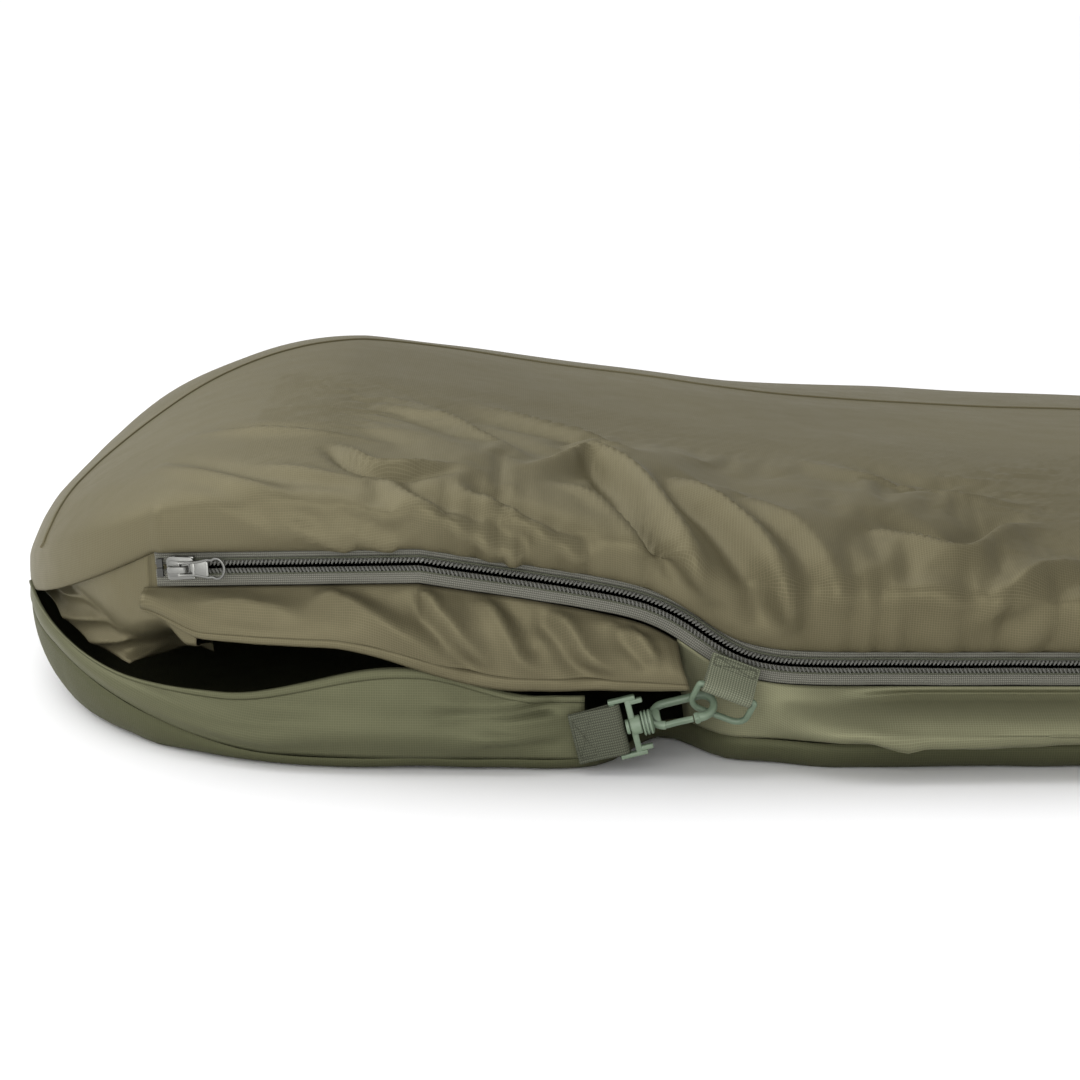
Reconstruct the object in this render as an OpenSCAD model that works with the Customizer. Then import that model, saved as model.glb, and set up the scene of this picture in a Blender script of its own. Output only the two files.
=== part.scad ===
/* [Sack] */
// Length of the filled sack from head to foot
sack_length = 2200; // [2150:10:2300]
// Half of the lofted width at the shoulders
shoulder_half_width = 342; // [336:1:346]
// Half of the lofted width at the foot
foot_half_width = 262; // [240:2:290]
// Height of the hood at its highest point
hood_height = 160; // [156:1:166]
// Height of the body beyond the hood
body_height = 108; // [103:1:113]
// Thickness that stands for the shell fabric with its seams and lining
fabric = 2.4; // [2:0.1:2.6]

/* [Zip] */
// Distance from the head end to the middle of the slider
slider_from_head = 118; // [117:0.5:120]
// Distance from the head end to the bottom stop
zip_end = 1500; // [1300:10:1600]
// Width of one row of coils
coil_row = 3; // [2.8:0.1:3]
// Thickness of the coils
coil_thick = 2.4; // [2.2:0.1:2.5]
// Visible width of one zip tape
tape_width = 8.5; // [8:0.1:8.5]
// Length of the pull tab from its hinge to its end
pull_length = 24; // [20:0.5:26]

/* [Webbing and clip] */
// Width of both pieces of webbing
webbing_width = 25; // [24:0.5:25]
// Thickness of one layer of webbing
webbing_thick = 1.6; // [1.4:0.1:1.6]
// Wire diameter of the D-ring
ring_wire = 3; // [2.8:0.1:3.1]
// Width of the hook's eye, across the hook
eye_width = 9.2; // [9:0.1:9.4]
// Thickness of the hook
hook_thick = 4; // [3.6:0.1:4.2]

/* [Hidden] */
$fn = 48;

olive = [0.49, 0.47, 0.38];
olive_green = [0.40, 0.41, 0.31];
webbing_green = [0.44, 0.46, 0.39];
clip_green = [0.42, 0.48, 0.40];
zip_grey = [0.38, 0.38, 0.34];
coil_grey = [0.25, 0.25, 0.23];
slider_grey = [0.47, 0.47, 0.45];

// The origin is on the ground, in the middle of the length
head_x = -sack_length / 2;
clear = 0.4;                 // gap between neighbouring cloth pieces

// ---------- plan and heights of the filled sack, s = distance from the head end ----------
head_round = 260;            // length over which the head rounds off
head_power = 2.7;
foot_round = 150;            // length over which the foot rounds off
foot_power = 2.6;
taper_start = 560;           // where the body begins to taper towards the foot
far_seam = 48;               // height of the seam round the far side
hood_peak = 180;             // distance of the hood's highest point from the head end
hood_fall = 240;             // length over which the hood falls to the body height
hood_rise_power = 0.5;
hood_fall_power = 1.3;

function ease(t) = let (c = min(1, max(0, t))) c * c * (3 - 2 * c);
function mix(a, b, t) = a + (b - a) * t;
function body_half(s) =
    mix(shoulder_half_width, foot_half_width, ease((s - taper_start) / (sack_length - taper_start)));
function head_factor(s) =
    s >= head_round ? 1 : pow(1 - pow(1 - max(s, 0) / head_round, head_power), 1 / head_power);
function foot_factor(s) = let (t = (s - sack_length + foot_round) / foot_round)
    t <= 0 ? 1 : pow(max(0, 1 - pow(min(t, 1), foot_power)), 1 / foot_power);
function half_width(s) = body_half(s) * head_factor(s) * foot_factor(s);
function ridge(s) = s < hood_peak
    ? far_seam + (hood_height - far_seam) * pow(max(0, sin(90 * s / hood_peak)), hood_rise_power)
    : far_seam + (body_height - far_seam
        + (hood_height - body_height) * exp(-pow((s - hood_peak) / hood_fall, hood_fall_power)))
        * pow(foot_factor(s), 0.8);

// ---------- the zip's line: straight where the slider runs, then an S down to the side ----------
run_start = 104;             // head end of the straight stretch
run_end = 235;               // its foot end
run_y = -305;                // place across and height of its head end
run_z = 94.3;
run_dy = -0.2266;            // slope in plan
run_dz = 0.065;              // slope in height
low_z = 51.9;                // height of the zip along the body
drop_mid = 374;              // middle of the S
drop_len = 12;
lean = 0.42;                 // part of the fall that comes before the S
zip_inset = 8;               // the zip lies this far inside the widest outline

function zip_z(s) = s <= run_end ? run_z + run_dz * (s - run_start)
    : low_z + (run_z + run_dz * (run_end - run_start) - low_z)
        * (1 - lean * min(1.6, (s - run_end) / (drop_mid - run_end))) / (1 + exp((s - drop_mid) / drop_len));
run_inset = half_width(run_end) + run_y + run_dy * (run_end - run_start);
function zip_y(s) = s <= run_end ? run_y + run_dy * (s - run_start)
    : mix(run_inset, zip_inset, ease((s - run_end) / 60)) - half_width(s);
function zip_point(s) = [s + head_x, zip_y(s), zip_z(s)];
function unit(v) = v / norm(v);
function zip_along(s) = unit(zip_point(s + 0.5) - zip_point(s - 0.5));
function zip_out(s) = let (t = zip_along(s)) unit([t[1], -t[0], 0]);
function zip_up(s) = cross(zip_out(s), zip_along(s));
// A point beside the zip: out from the tape's plane, and up across it
function beside_zip(s, out, up) = zip_point(s) + out * zip_out(s) + up * zip_up(s);

row_gap = 0.8;               // half the gap between the two rows, where the slider's neck runs
row_out = row_gap + coil_row;
tape_top = row_gap + 0.4 + tape_width;

// ---------- cloth panels: a closed sheet from a grid of points ----------
function grid_normal(g, i, j) =
    let (n = len(g) - 1, m = len(g[0]) - 1,
         along = g[min(i + 1, n)][j] - g[max(i - 1, 0)][j],
         across = g[i][min(j + 1, m)] - g[i][max(j - 1, 0)])
    unit(cross(along, across));
// The grid is the outer face, and the inner face is the same grid moved in by the thickness
module sheet(g, thick) {
    n = len(g);
    m = len(g[0]);
    half = n * m;
    function at(i, j) = i * m + j;
    inner = [for (i = [0 : n - 1]) for (j = [0 : m - 1]) g[i][j] - thick * grid_normal(g, i, j)];
    outer_faces = [for (i = [0 : n - 2]) for (j = [0 : m - 2]) each
        [[at(i, j), at(i + 1, j + 1), at(i + 1, j)], [at(i, j), at(i, j + 1), at(i + 1, j + 1)]]];
    inner_faces = [for (f = outer_faces) [half + f[0], half + f[2], half + f[1]]];
    side_faces = [for (i = [0 : n - 2]) each
        [[at(i, 0), at(i + 1, 0), half + at(i + 1, 0)], [at(i, 0), half + at(i + 1, 0), half + at(i, 0)],
         [at(i, m - 1), half + at(i + 1, m - 1), at(i + 1, m - 1)],
         [at(i, m - 1), half + at(i, m - 1), half + at(i + 1, m - 1)]]];
    end_faces = [for (j = [0 : m - 2]) each
        [[at(0, j + 1), at(0, j), half + at(0, j)], [at(0, j + 1), half + at(0, j), half + at(0, j + 1)],
         [at(n - 1, j), at(n - 1, j + 1), half + at(n - 1, j + 1)],
         [at(n - 1, j), half + at(n - 1, j + 1), half + at(n - 1, j)]]];
    polyhedron(concat([for (row = g) each row], inner),
        concat(outer_faces, inner_faces, side_faces, end_faces), convexity = 8);
}

// Cross-sections, close together where the sack turns and far apart along the body
head_s = [for (k = [1 : 9]) run_start * pow(k / 9, 2)];
mouth_s = [for (s = [118 : 16 : 342]) s];
bend_s = [for (s = [350 : 8 : 414]) s];
body_s = [for (k = [0 : 17]) 430 + (sack_length - foot_round - 440) * k / 17];
foot_s = [for (k = [8 : -1 : 1]) sack_length - foot_round * pow(k / 9, 2)];

// ---------- top shell ----------
tip_s = 20;                  // the mouth's corner at the head
tip_z = 55;
seam_in = 2.7;               // the seams lie this far inside the outline
curl_in = 9;                 // the shell's near edge tucks in under its widest line
curl_share = 0.42;           // share of the shell's height that is below the widest line
near_power = 2.3;
far_bulge = 10;              // height of the widest line above the far seam
shell_out = 0.8;             // the tucked edge lies this far outside the tape's plane
shell_clear = 1.6;           // gap between the upper tape and the shell's tucked edge

function shell_edge_z(s) = s < tip_s ? mix(far_seam, tip_z, s / tip_s)
    : s < run_start ? mix(tip_z, run_z + tape_top + shell_clear, (s - tip_s) / (run_start - tip_s))
    : beside_zip(s, shell_out, tape_top + shell_clear)[2];
function shell_edge_y(s) = s < run_start ? -(half_width(s) - seam_in) : beside_zip(s, shell_out, tape_top + shell_clear)[1];
function arc_power(a, power) = pow(max(0, a), 2 / power);
function shell_row(s) =
    let (w = half_width(s), top = ridge(s), ey = shell_edge_y(s), ez = min(shell_edge_z(s), top - 4),
         tuck = curl_in * min(1, w / shoulder_half_width), mid = ez + curl_share * (top - ez),
         wide = -ey + tuck, far = far_seam + far_bulge * min(1, w / shoulder_half_width), x = s + head_x)
    concat(
        [for (k = [3 : -1 : 1]) [x, ey - tuck * cos(30 * k), mid - (mid - ez) * sin(30 * k)]],
        [for (k = [0 : 8]) [x, -wide * arc_power(cos(k * 10), near_power),
            mid + (top - mid) * arc_power(sin(k * 10), near_power)]],
        [[x, 0, top]],
        [for (k = [8 : -1 : 0]) [x, w * cos(k * 10), far + (top - far) * sin(k * 10)]],
        [[x, w - seam_in, far_seam + clear]]);
// The first and last rows draw together on the seam
function closed_row(row, x, z, shrink) = [for (p = row) [x, p[1] * shrink, z + (p[2] - z) * 0.15]];
module top_shell() color(olive) {
    rows = [for (s = concat(head_s, mouth_s, bend_s, body_s, foot_s)) shell_row(s)];
    sheet(concat([closed_row(rows[0], head_x, far_seam + 2, 0.9)], rows,
        [closed_row(rows[len(rows) - 1], -head_x, far_seam * 0.5, 0.9)]), fabric);
}

// ---------- groundsheet: floor, far wall and the low edge on the near side ----------
lift_len = 160;              // the head end of the floor's rim curls up over this length
lift_top = 46;
floor_lift_len = 60;
near_rim = 7;                // height of the seam under the mouth
body_rim = 15;               // height of the seam along the body
notch_s = 352;               // the rim is drawn in between the lip's end and the side
notch_deep = 50;
notch_len = 20;
ring_room = 9;               // the side is drawn in behind the D-ring
ring_room_end = 440;
corner_in = 14;
floor_far = 24;              // height at which the far wall is upright

function rim_lift(s) = s < lift_len ? lift_top * pow(1 - s / lift_len, 1.5) : 0;
function floor_lift(s) = s < floor_lift_len ? (lift_top - 2) * pow(1 - s / floor_lift_len, 2) : 0;
function foot_lift(s) = far_seam * 0.45 * pow(1 - foot_factor(s), 1.5);
function rim_z(s) = rim_lift(s) + mix(near_rim, body_rim, ease((s - 335) / 30)) * min(1, s / 40) + foot_lift(s) * 0.5;
function behind_ring(s) = s < notch_s ? 0 : 1 - ease((s - 392) / (ring_room_end - 392));
function rim_y(s) = -(half_width(s) - 1 - ring_room * behind_ring(s) * ease((s - notch_s) / 20)
    - notch_deep * exp(-pow((s - notch_s) / notch_len, 2)));
function ground_row(s) =
    let (w = half_width(s), low = floor_lift(s) + foot_lift(s), near = rim_z(s), x = s + head_x,
         corner = min(corner_in + 1.4 * max(0, near - low - body_rim), 0.5 * w),
         far_mid = max(floor_far, low + 2), far_corner = min(22 + far_mid - floor_far, 0.4 * w),
         far_top = max(far_seam * min(1, 0.5 + 0.5 * foot_factor(s)) - clear, far_mid + 1))
    concat(
        [[x, w - seam_in, far_top]],
        [for (k = [0 : 4]) [x, w - far_corner * (1 - cos(22.5 * k)), mix(far_mid, low, sin(22.5 * k))]],
        [for (k = [1 : 7]) [x, mix(w - far_corner, rim_y(s) + corner, k / 8), low]],
        [for (k = [4 : -1 : 0]) [x, rim_y(s) + corner * (1 - cos(22.5 * k)), mix(near, low, sin(22.5 * k))]]);
module groundsheet() color(olive_green) {
    rows = [for (s = concat(head_s, mouth_s, bend_s, body_s, foot_s)) ground_row(s)];
    sheet(concat([closed_row(rows[0], head_x, far_seam - 3, 0.9)], rows,
        [closed_row(rows[len(rows) - 1], -head_x, far_seam * 0.5 - 3, 0.9)]), fabric);
}

// ---------- side panel between the lower zip tape and the groundsheet ----------
panel_start = 376;
panel_bulge = 6;
function panel_top(s) = mix(beside_zip(s, 0, -tape_top - clear),
    [s + head_x, shell_edge_y(s), min(shell_edge_z(s), ridge(s) - 4) - clear], ease((s - zip_end - 20) / 60));
module side_panel() color(olive_green)
    sheet([for (s = concat([for (s = [panel_start : 8 : 428]) s], [for (s = body_s) if (s > 430 && s < zip_end) s],
            [zip_end + 2, zip_end + 20, zip_end + 50, zip_end + 80], [for (s = body_s) if (s > zip_end + 90) s],
            [for (k = [0 : 6]) foot_s[k]]))
        let (low = [s + head_x, rim_y(s), rim_z(s) + clear], high = panel_top(s))
        [for (k = [0 : 4]) mix(low, high, k / 4) - [0, panel_bulge * sin(45 * k) * (1 - behind_ring(s)), 0]]], fabric);

// ---------- mouth flap below the zip, with its hem ----------
flap_start = 112;
flap_end = 356;
flap_high = 62.5;            // height of the free edge over the open mouth
flap_fall = 20.5;            // and how far it falls towards the foot
hem = 5;
flap_bulge = 7;
flap_s = concat([for (s = [flap_start : 14 : 294]) s], [for (s = [304 : 8.6 : flap_end]) s]);
function flap_edge_z(s) = flap_high - flap_fall * ease((s - 188) / 95);
function flap_edge_y(s) = -(half_width(s) + 3);
function flap_gap(s) = mix(2.2, 3.2, ease((s - 280) / 60));
function flap_top(s) = beside_zip(s, -tape_back - clear, -tape_top - flap_gap(s));
function flap_point(s, v) =
    mix([s + head_x, flap_edge_y(s), flap_edge_z(s)], flap_top(s), v) - [0, flap_bulge * sin(180 * v), 0];
function hem_share(s) = (hem + 3 * clear) / (flap_top(s)[2] - flap_edge_z(s));
module mouth_flap() color(olive)
    sheet([for (s = flap_s) [for (k = [0 : 6]) flap_point(s, mix(hem_share(s), 1, k / 6))]], fabric);
module flap_hem() color(olive)
    sheet([for (s = flap_s) [for (k = [0 : 1]) flap_point(s, hem_share(s) * k * hem / (hem + 3 * clear))]], fabric + 0.6);

// ---------- hood lip: the lower side of the mouth, with its bound edge ----------
lip_end = 305;
lip_low = 36;                // height of its top edge in the middle of the mouth
lip_s = concat([for (k = [4 : 9]) run_start * pow(k / 9, 2) + 2], [for (s = [118 : 17 : 288]) s], [297, lip_end]);
function lip_edge_z(s) = s < 90 ? mix(lip_low, tip_z + 1, pow(max(0, (90 - s) / (90 - tip_s)), 1.6))
    : lip_low + 17 * ease((s - 135) / 90) - 14 * ease((s - 232) / 60);
function lip_point(s, v) =
    let (low = [s + head_x, rim_y(s), rim_z(s) + 2 * clear], high = [s + head_x, -(half_width(s) - 1), lip_edge_z(s)])
    mix(low, high, v) - [0, 2.5 * sin(180 * v), 0];
function lip_height(s) = lip_edge_z(s) - rim_z(s);
function binding_share(s) = 1 - (hem - 1) / lip_height(s);
module hood_lip() color(olive_green)
    sheet([for (s = lip_s) [for (k = [0 : 4]) lip_point(s, (binding_share(s) - 3 * clear / lip_height(s)) * k / 4)]], fabric);
module lip_hem() color(olive_green)
    sheet([for (s = lip_s) [for (k = [0 : 1]) lip_point(s, mix(binding_share(s), 1, k))]], fabric + 0.4);

// ---------- pleated gusset in the mouth's corner ----------
gusset_folds = 3;
module hood_gusset() color(olive_green)
    sheet([for (s = [36 : 5 : 106]) [for (k = [0 : 3])
        let (t = (s - 36) / 70 * gusset_folds, fold = 1 - abs(2 * (t - floor(t)) - 1))
        [s + head_x, -(half_width(s) - 9 - 9 * fold * (1 - abs(k / 1.5 - 1) * 0.3)),
            mix(lip_edge_z(s) + 1, shell_edge_z(s) - 6, k / 3)]]], 1.2);

// ---------- tape sealed over the far seam, inside ----------
seam_tape = 20;
module shell_seam_tape() color(zip_grey)
    sheet([for (s = concat([for (s = [60 : 20 : 300]) s], body_s))
        [for (up = [1, -1]) [s + head_x, half_width(s) - seam_in - fabric - 3.5, far_seam + up * seam_tape / 2]]], 0.8);

// ---------- zip tapes, coils and stops ----------
tape_thick = 0.8;
tape_back = 1.1;             // the tapes' inner face lies this far behind the coils' back
zip_s = concat([for (s = [run_start : 26.2 : run_end + 1]) s], [for (s = [244 : 8 : 436]) s],
    [for (k = [1 : 18]) 436 + (zip_end - 436) * k / 18]);
coil_s = [for (s = zip_s) if (s < zip_end - 1) max(s, run_start + 6)];

// A band along the zip: its outer face lies at out, from low to high across the zip
module zip_band(stations, out, low, high, thick)
    sheet([for (s = stations) [beside_zip(s, out, low), beside_zip(s, out, high)]], thick);
module zip_tape_upper() color(zip_grey)
    zip_band(zip_s, tape_thick - tape_back, row_gap + 0.4, tape_top, tape_thick);
module zip_tape_lower() color(zip_grey)
    zip_band(zip_s, tape_thick - tape_back, -tape_top, -row_gap - 0.4, tape_thick);
module zip_coil_upper() color(coil_grey) zip_band(coil_s, coil_thick, row_gap, row_out, coil_thick);
module zip_coil_lower() color(coil_grey) zip_band(coil_s, coil_thick, -row_out, -row_gap, coil_thick);

// The slider's own frame: +X along the zip towards the foot, -Y outwards, +Z across the zip
zip_yaw = atan(run_dy);
zip_pitch = atan(run_dz / sqrt(1 + run_dy * run_dy));
module at_zip(s) translate(zip_point(s)) rotate([0, -zip_pitch, zip_yaw]) children();
module block(x, y, z) translate([x[0], y[0], z[0]]) cube([x[1] - x[0], y[1] - y[0], z[1] - z[0]]);

module zip_top_stops() color(slider_grey) at_zip(run_start + 3) for (side = [-1, 1])
    translate([0, -1.2, side * (row_gap + coil_row / 2)]) difference() {
        cube([3, 2.4, coil_row + 1.2], center = true);
        translate([0, 0.6, 0]) cube([3.2, 1.4, coil_row + 0.4], center = true);
    }
module zip_bottom_stop() color(slider_grey)
    translate(zip_point(zip_end + 2.2)) translate([0, -1.3, 0]) cube([4, 2.4, 2 * row_out + 1], center = true);

// ---------- slider ----------
plate = 1.2;                 // thickness of the slider's front and back plates
slider_half = 7;             // half its length
slider_wide = 12;            // width over its head end
slider_narrow = 10.6;        // width over its tail
front = coil_thick + 0.3;    // the front plate's inner face, outwards from the tapes' plane
back = tape_back + 0.3;      // the back plate's inner face, inwards
rail = 1.1;                  // thickness of the side rails of the front plate
module slider_outline() polygon([[-slider_half + 2, -slider_wide / 2], [slider_half, -slider_narrow / 2],
    [slider_half, slider_narrow / 2], [-slider_half + 2, slider_wide / 2],
    [-slider_half, slider_wide / 2 - 2.4], [-slider_half, -slider_wide / 2 + 2.4]]);
// Stands an outline in the zip's plane up as a plate between two depths, outwards from the tapes' plane
module stand(from, to) translate([0, -from, 0]) rotate([90, 0, 0]) linear_extrude(to - from) children();
module slider_body() color(slider_grey) at_zip(slider_from_head) {
    stand(front, front + plate) slider_outline();
    stand(-back - plate, -back) slider_outline();
    block([-5.6, -2.4], [-front - 0.1, back + 0.1], [-row_gap + 0.2, row_gap - 0.2]);
    for (side = [-1, 1]) stand(0.1, front + 0.1)
        polygon([[-slider_half + 2, side * slider_wide / 2], [slider_half, side * slider_narrow / 2],
            [slider_half, side * (slider_narrow / 2 - rail)], [-slider_half + 2, side * (slider_narrow / 2 - rail + 0.1)]]);
}
crown_wide = 3.2;
crown_half = 4.7;
crown_bar = 1.5;
crown_top = front + plate + 4.6;
module slider_crown() color(slider_grey) at_zip(slider_from_head) difference() {
    block([-crown_half, crown_half], [-crown_top, -front - plate], [-crown_wide / 2, crown_wide / 2]);
    block([-crown_half + crown_bar, crown_half - crown_bar], [-crown_top + 1.1, 0], [-crown_wide, crown_wide]);
}

// ---------- pull tab: a fork round the crown, a waist and a ring at its end ----------
pull_thick = 1.5;
pull_window = 6.4;
pull_half = 3.8;
pull_ring = 3.9;
pull_hole = 3.1;
pull_out = front + plate + 1.7;  // the hinge line, outwards from the tapes' plane
module pull_tab() color(slider_grey) at_zip(slider_from_head) {
    translate([0, -pull_out, -pull_half]) cylinder(h = 2 * pull_half, d = pull_thick);
    stand(pull_out - pull_thick / 2, pull_out + pull_thick / 2) difference() {
        union() {
            polygon([[0, -pull_half], [pull_window + 1.8, -pull_half], [pull_length - 8, -1.9],
                [pull_length - 8, 1.9], [pull_window + 1.8, pull_half], [0, pull_half]]);
            translate([pull_length - 10, -1.9]) square([5, 3.8]);
            translate([pull_length - pull_ring, 0]) circle(r = pull_ring);
        }
        translate([0.6, -pull_half + 1.5]) square([pull_window - 0.6, 2 * pull_half - 3]);
        translate([-1, -pull_half + 1.5]) square([1.01, 2 * pull_half - 3]);
        translate([pull_length - pull_ring, 0]) circle(r = pull_hole);
    }
}

// ---------- snap hook on the lip's webbing ----------
hook_at = [333, -343.6, 23.8];   // middle of the hook's base: from the head end, across, up
hook_rise = 14;                  // the hook's axis points this far upwards
hook_turn = -52;                 // the swivel's turn when it is clipped
bar_x = -3;                      // the webbing's bar, along the hook's axis from the base's middle
bar_wire = 3.2;
base_half = 15;
boss_x = [5.4, 8.6];
stud_r = 2.4;
bore_r = stud_r + 0.06;
collar_x = [9, 14];
collar_r = 6.1;
eye_start = 16;
eye_end = 42.8;                  // foot end of the eye's round
arm = 3.5;                       // width of the hook's arms
eye_side = 2;                    // the eye lies this far to the spine's side of the axis
gate_x = [18, 33.5];
module at_hook() translate([hook_at[0] + head_x, hook_at[1], hook_at[2]]) rotate([0, -hook_rise, 0]) children();
module at_swivel() at_hook() rotate([hook_turn, 0, 0]) children();

module hook_base() color(clip_green) at_hook() difference() {
    union() {
        translate([bar_x, 0, -base_half + 1]) cylinder(h = 2 * base_half - 2, d = bar_wire);
        for (side = [-1, 1]) {
            block([bar_x - 1.6, 8.5], [-2, 2], side > 0 ? [base_half - 2.2, base_half] : [-base_half, -base_half + 2.2]);
            block([5, 11.5], [-1.6, 1.6], side > 0 ? [base_half - 4.4, base_half - 2] : [-base_half + 2, -base_half + 4.4]);
        }
        block([boss_x[0] - 2.4, boss_x[0] + 0.6], [-2, 2], [-base_half + 1, base_half - 1]);
        translate([boss_x[0] - 2.4, 0, 0]) rotate([0, 90, 0]) cylinder(h = boss_x[1] - boss_x[0] + 2.4, r = 4.6);
    }
    translate([-1, 0, 0]) rotate([0, 90, 0]) cylinder(h = 14, r = bore_r);
}

// Plates of the hook lie in its own X-Z plane, half a thickness to each side
module hook_plate(thick) rotate([90, 0, 0]) translate([0, 0, -thick / 2]) linear_extrude(thick) children();
module eye_outline(grow) {
    mid = eye_end - eye_width / 2;
    translate([eye_start + eye_width / 2, eye_side]) circle(r = eye_width / 2 + grow);
    translate([mid, eye_side]) circle(r = eye_width / 2 + grow);
    translate([eye_start + eye_width / 2, eye_side - eye_width / 2 - grow])
        square([mid - eye_start - eye_width / 2, eye_width + 2 * grow]);
}
gate_slot = [gate_x[0] - 0.4, gate_x[1] + 0.4];
module hook_body() color(clip_green) at_swivel() {
    rotate([0, 90, 0]) {
        translate([0, 0, 1]) cylinder(h = collar_x[1] - 1.5, r = stud_r);
        translate([0, 0, 1]) cylinder(h = 1.8, r = 3.6);
        for (ring = [0 : 2]) translate([0, 0, collar_x[0] + ring * 1.7]) cylinder(h = 1.1, r = collar_r);
        translate([0, 0, collar_x[0]]) cylinder(h = 5, r = collar_r - 0.7);
    }
    hook_plate(hook_thick) difference() {
        union() {
            eye_outline(arm);
            translate([collar_x[1] - 0.5, -3.2]) square([5, 9]);
        }
        eye_outline(0);
        translate([gate_slot[0], eye_side - eye_width / 2 - arm - 1])
            square([gate_slot[1] - gate_slot[0], arm + 1.6]);
    }
}
// The gate turns about its root and swings into the eye
gate_pin = [gate_x[0] + 1.4, eye_side - eye_width / 2 - arm / 2];
module hook_gate() color(clip_green) at_swivel() hook_plate(hook_thick - 0.8) {
    translate(gate_pin) circle(r = 1.4);
    translate([gate_pin[0], gate_pin[1] - 1.2]) square([gate_x[1] - gate_pin[0], 2.4]);
}

// ---------- webbing that holds the hook's base, sewn on the lip ----------
wrap_in = bar_wire / 2 + 0.35;
wrap_out = wrap_in + webbing_thick;
sewn_x = -25;
flat_x = -13;
flat_in = 0.15;
module strap_layer(side) polygon([
    [bar_x, side * wrap_in], [bar_x, side * wrap_out], [flat_x, side * (flat_in + webbing_thick)],
    [sewn_x, side * (flat_in + webbing_thick)], [sewn_x, side * flat_in], [flat_x, side * flat_in]]);
module hook_strap() color(webbing_green) at_hook() translate([0, 0, -webbing_width / 2])
    linear_extrude(webbing_width) union() {
        for (side = [-1, 1]) strap_layer(side);
        translate([bar_x, 0]) intersection() {
            difference() {
                circle(r = wrap_out);
                circle(r = wrap_in);
            }
            translate([-0.2, -wrap_out]) square([wrap_out + 0.2, 2 * wrap_out]);
        }
    }
thread = 0.6;
module stitch_box(long, wide) for (a = [0, 1]) {
    translate([0, 0, (a - 0.5) * (wide - thread)]) cube([long, thread, thread], center = true);
    translate([(a - 0.5) * (long - thread), 0, 0]) cube([thread, thread, wide], center = true);
    rotate([0, (a - 0.5) * 2 * atan(wide / long), 0]) cube([norm([long, wide]) - 1.6, thread, thread], center = true);
}
module hook_strap_stitches() color(olive_green) at_hook()
    translate([(sewn_x + flat_x) / 2, -flat_in - webbing_thick - thread / 2, 0]) stitch_box(9, 21);

// ---------- D-ring and the webbing that carries it, sewn to the lower tape ----------
ring_at = [382, -349.3, 42.6];   // middle of the ring's straight bar
ring_tilt = 21;                  // its straight bar falls this much towards the foot
ring_hang = 30;                  // the ring hangs this far inwards from upright
strap_lean = -38;                // its webbing leans inwards up to the zip
ring_inner = 25.2;
ring_depth = 16;
ring_bend = 6;
strap_reach = 17;                // from the bar to the webbing's sewn edge
module at_ring(swing) translate([ring_at[0] + head_x, ring_at[1], ring_at[2]])
    rotate([swing, ring_tilt, 0]) children();
module ring_corner(x, z, from) translate([x, 0, z]) rotate([90, 0, 0])
    rotate([0, 0, from]) rotate_extrude(angle = 90) translate([ring_bend, 0]) circle(d = ring_wire, $fn = 24);
module ring_rod(from, to) translate(from) rotate([0, atan2(to[0] - from[0], to[2] - from[2]), 0])
    cylinder(h = norm(to - from), d = ring_wire);
ring_leg = (ring_inner + ring_wire) / 2;
module d_ring() color(clip_green) at_ring(ring_hang) {
    for (side = [-1, 1]) {
        ring_rod([side * ring_leg, 0, 0], [side * ring_leg, 0, -ring_depth + ring_bend]);
        translate([side * ring_leg, 0, 0]) sphere(d = ring_wire);
    }
    ring_rod([-ring_leg, 0, 0], [ring_leg, 0, 0]);
    ring_rod([-ring_leg + ring_bend, 0, -ring_depth], [ring_leg - ring_bend, 0, -ring_depth]);
    ring_corner(-ring_leg + ring_bend, -ring_depth + ring_bend, 180);
    ring_corner(ring_leg - ring_bend, -ring_depth + ring_bend, 270);
}
ring_wrap_in = ring_wire / 2 + 0.3;
ring_wrap_out = ring_wrap_in + webbing_thick;
module ring_strap_profile() {
    for (side = [-1, 1]) polygon([[0, side * ring_wrap_in], [0, side * ring_wrap_out],
        [10, side * (flat_in + webbing_thick)], [strap_reach, side * (flat_in + webbing_thick)],
        [strap_reach, side * flat_in], [10, side * flat_in]]);
    intersection() {
        difference() {
            circle(r = ring_wrap_out);
            circle(r = ring_wrap_in);
        }
        translate([-ring_wrap_out, -ring_wrap_out]) square([ring_wrap_out + 0.2, 2 * ring_wrap_out]);
    }
}
module ring_strap() color(webbing_green) at_ring(strap_lean)
    translate([webbing_width / 2 - 0.2, 0, 0]) rotate([0, -90, 0]) linear_extrude(webbing_width - 0.4) union() ring_strap_profile();
module ring_strap_stitches() color(olive_green) at_ring(strap_lean)
    translate([0, -flat_in - webbing_thick - thread / 2, 13]) stitch_box(21, 5);

top_shell();
groundsheet();
side_panel();
mouth_flap();
flap_hem();
hood_lip();
lip_hem();
hood_gusset();
shell_seam_tape();
zip_tape_upper();
zip_tape_lower();
zip_coil_upper();
zip_coil_lower();
zip_top_stops();
zip_bottom_stop();
slider_body();
slider_crown();
pull_tab();
hook_strap();
hook_strap_stitches();
hook_base();
hook_body();
hook_gate();
d_ring();
ring_strap();
ring_strap_stitches();
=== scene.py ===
# %% [markdown]
# # A bivy sack in cells
# A bivy sack is a waterproof cover for a sleeping bag: a domed hood and body of thin ripstop nylon over a
# coated groundsheet, closed by a coil zip down one side, with a mouth under the zip that a snap hook holds
# shut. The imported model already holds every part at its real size. Here each soft part becomes real cloth,
# and each hard part gets its true moulded or cast form.

# %% Load the frame
from math import cos, hypot, pi, radians, sin

import bmesh
import bpy
import numpy as np
from mathutils import Matrix, Vector, noise


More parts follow.
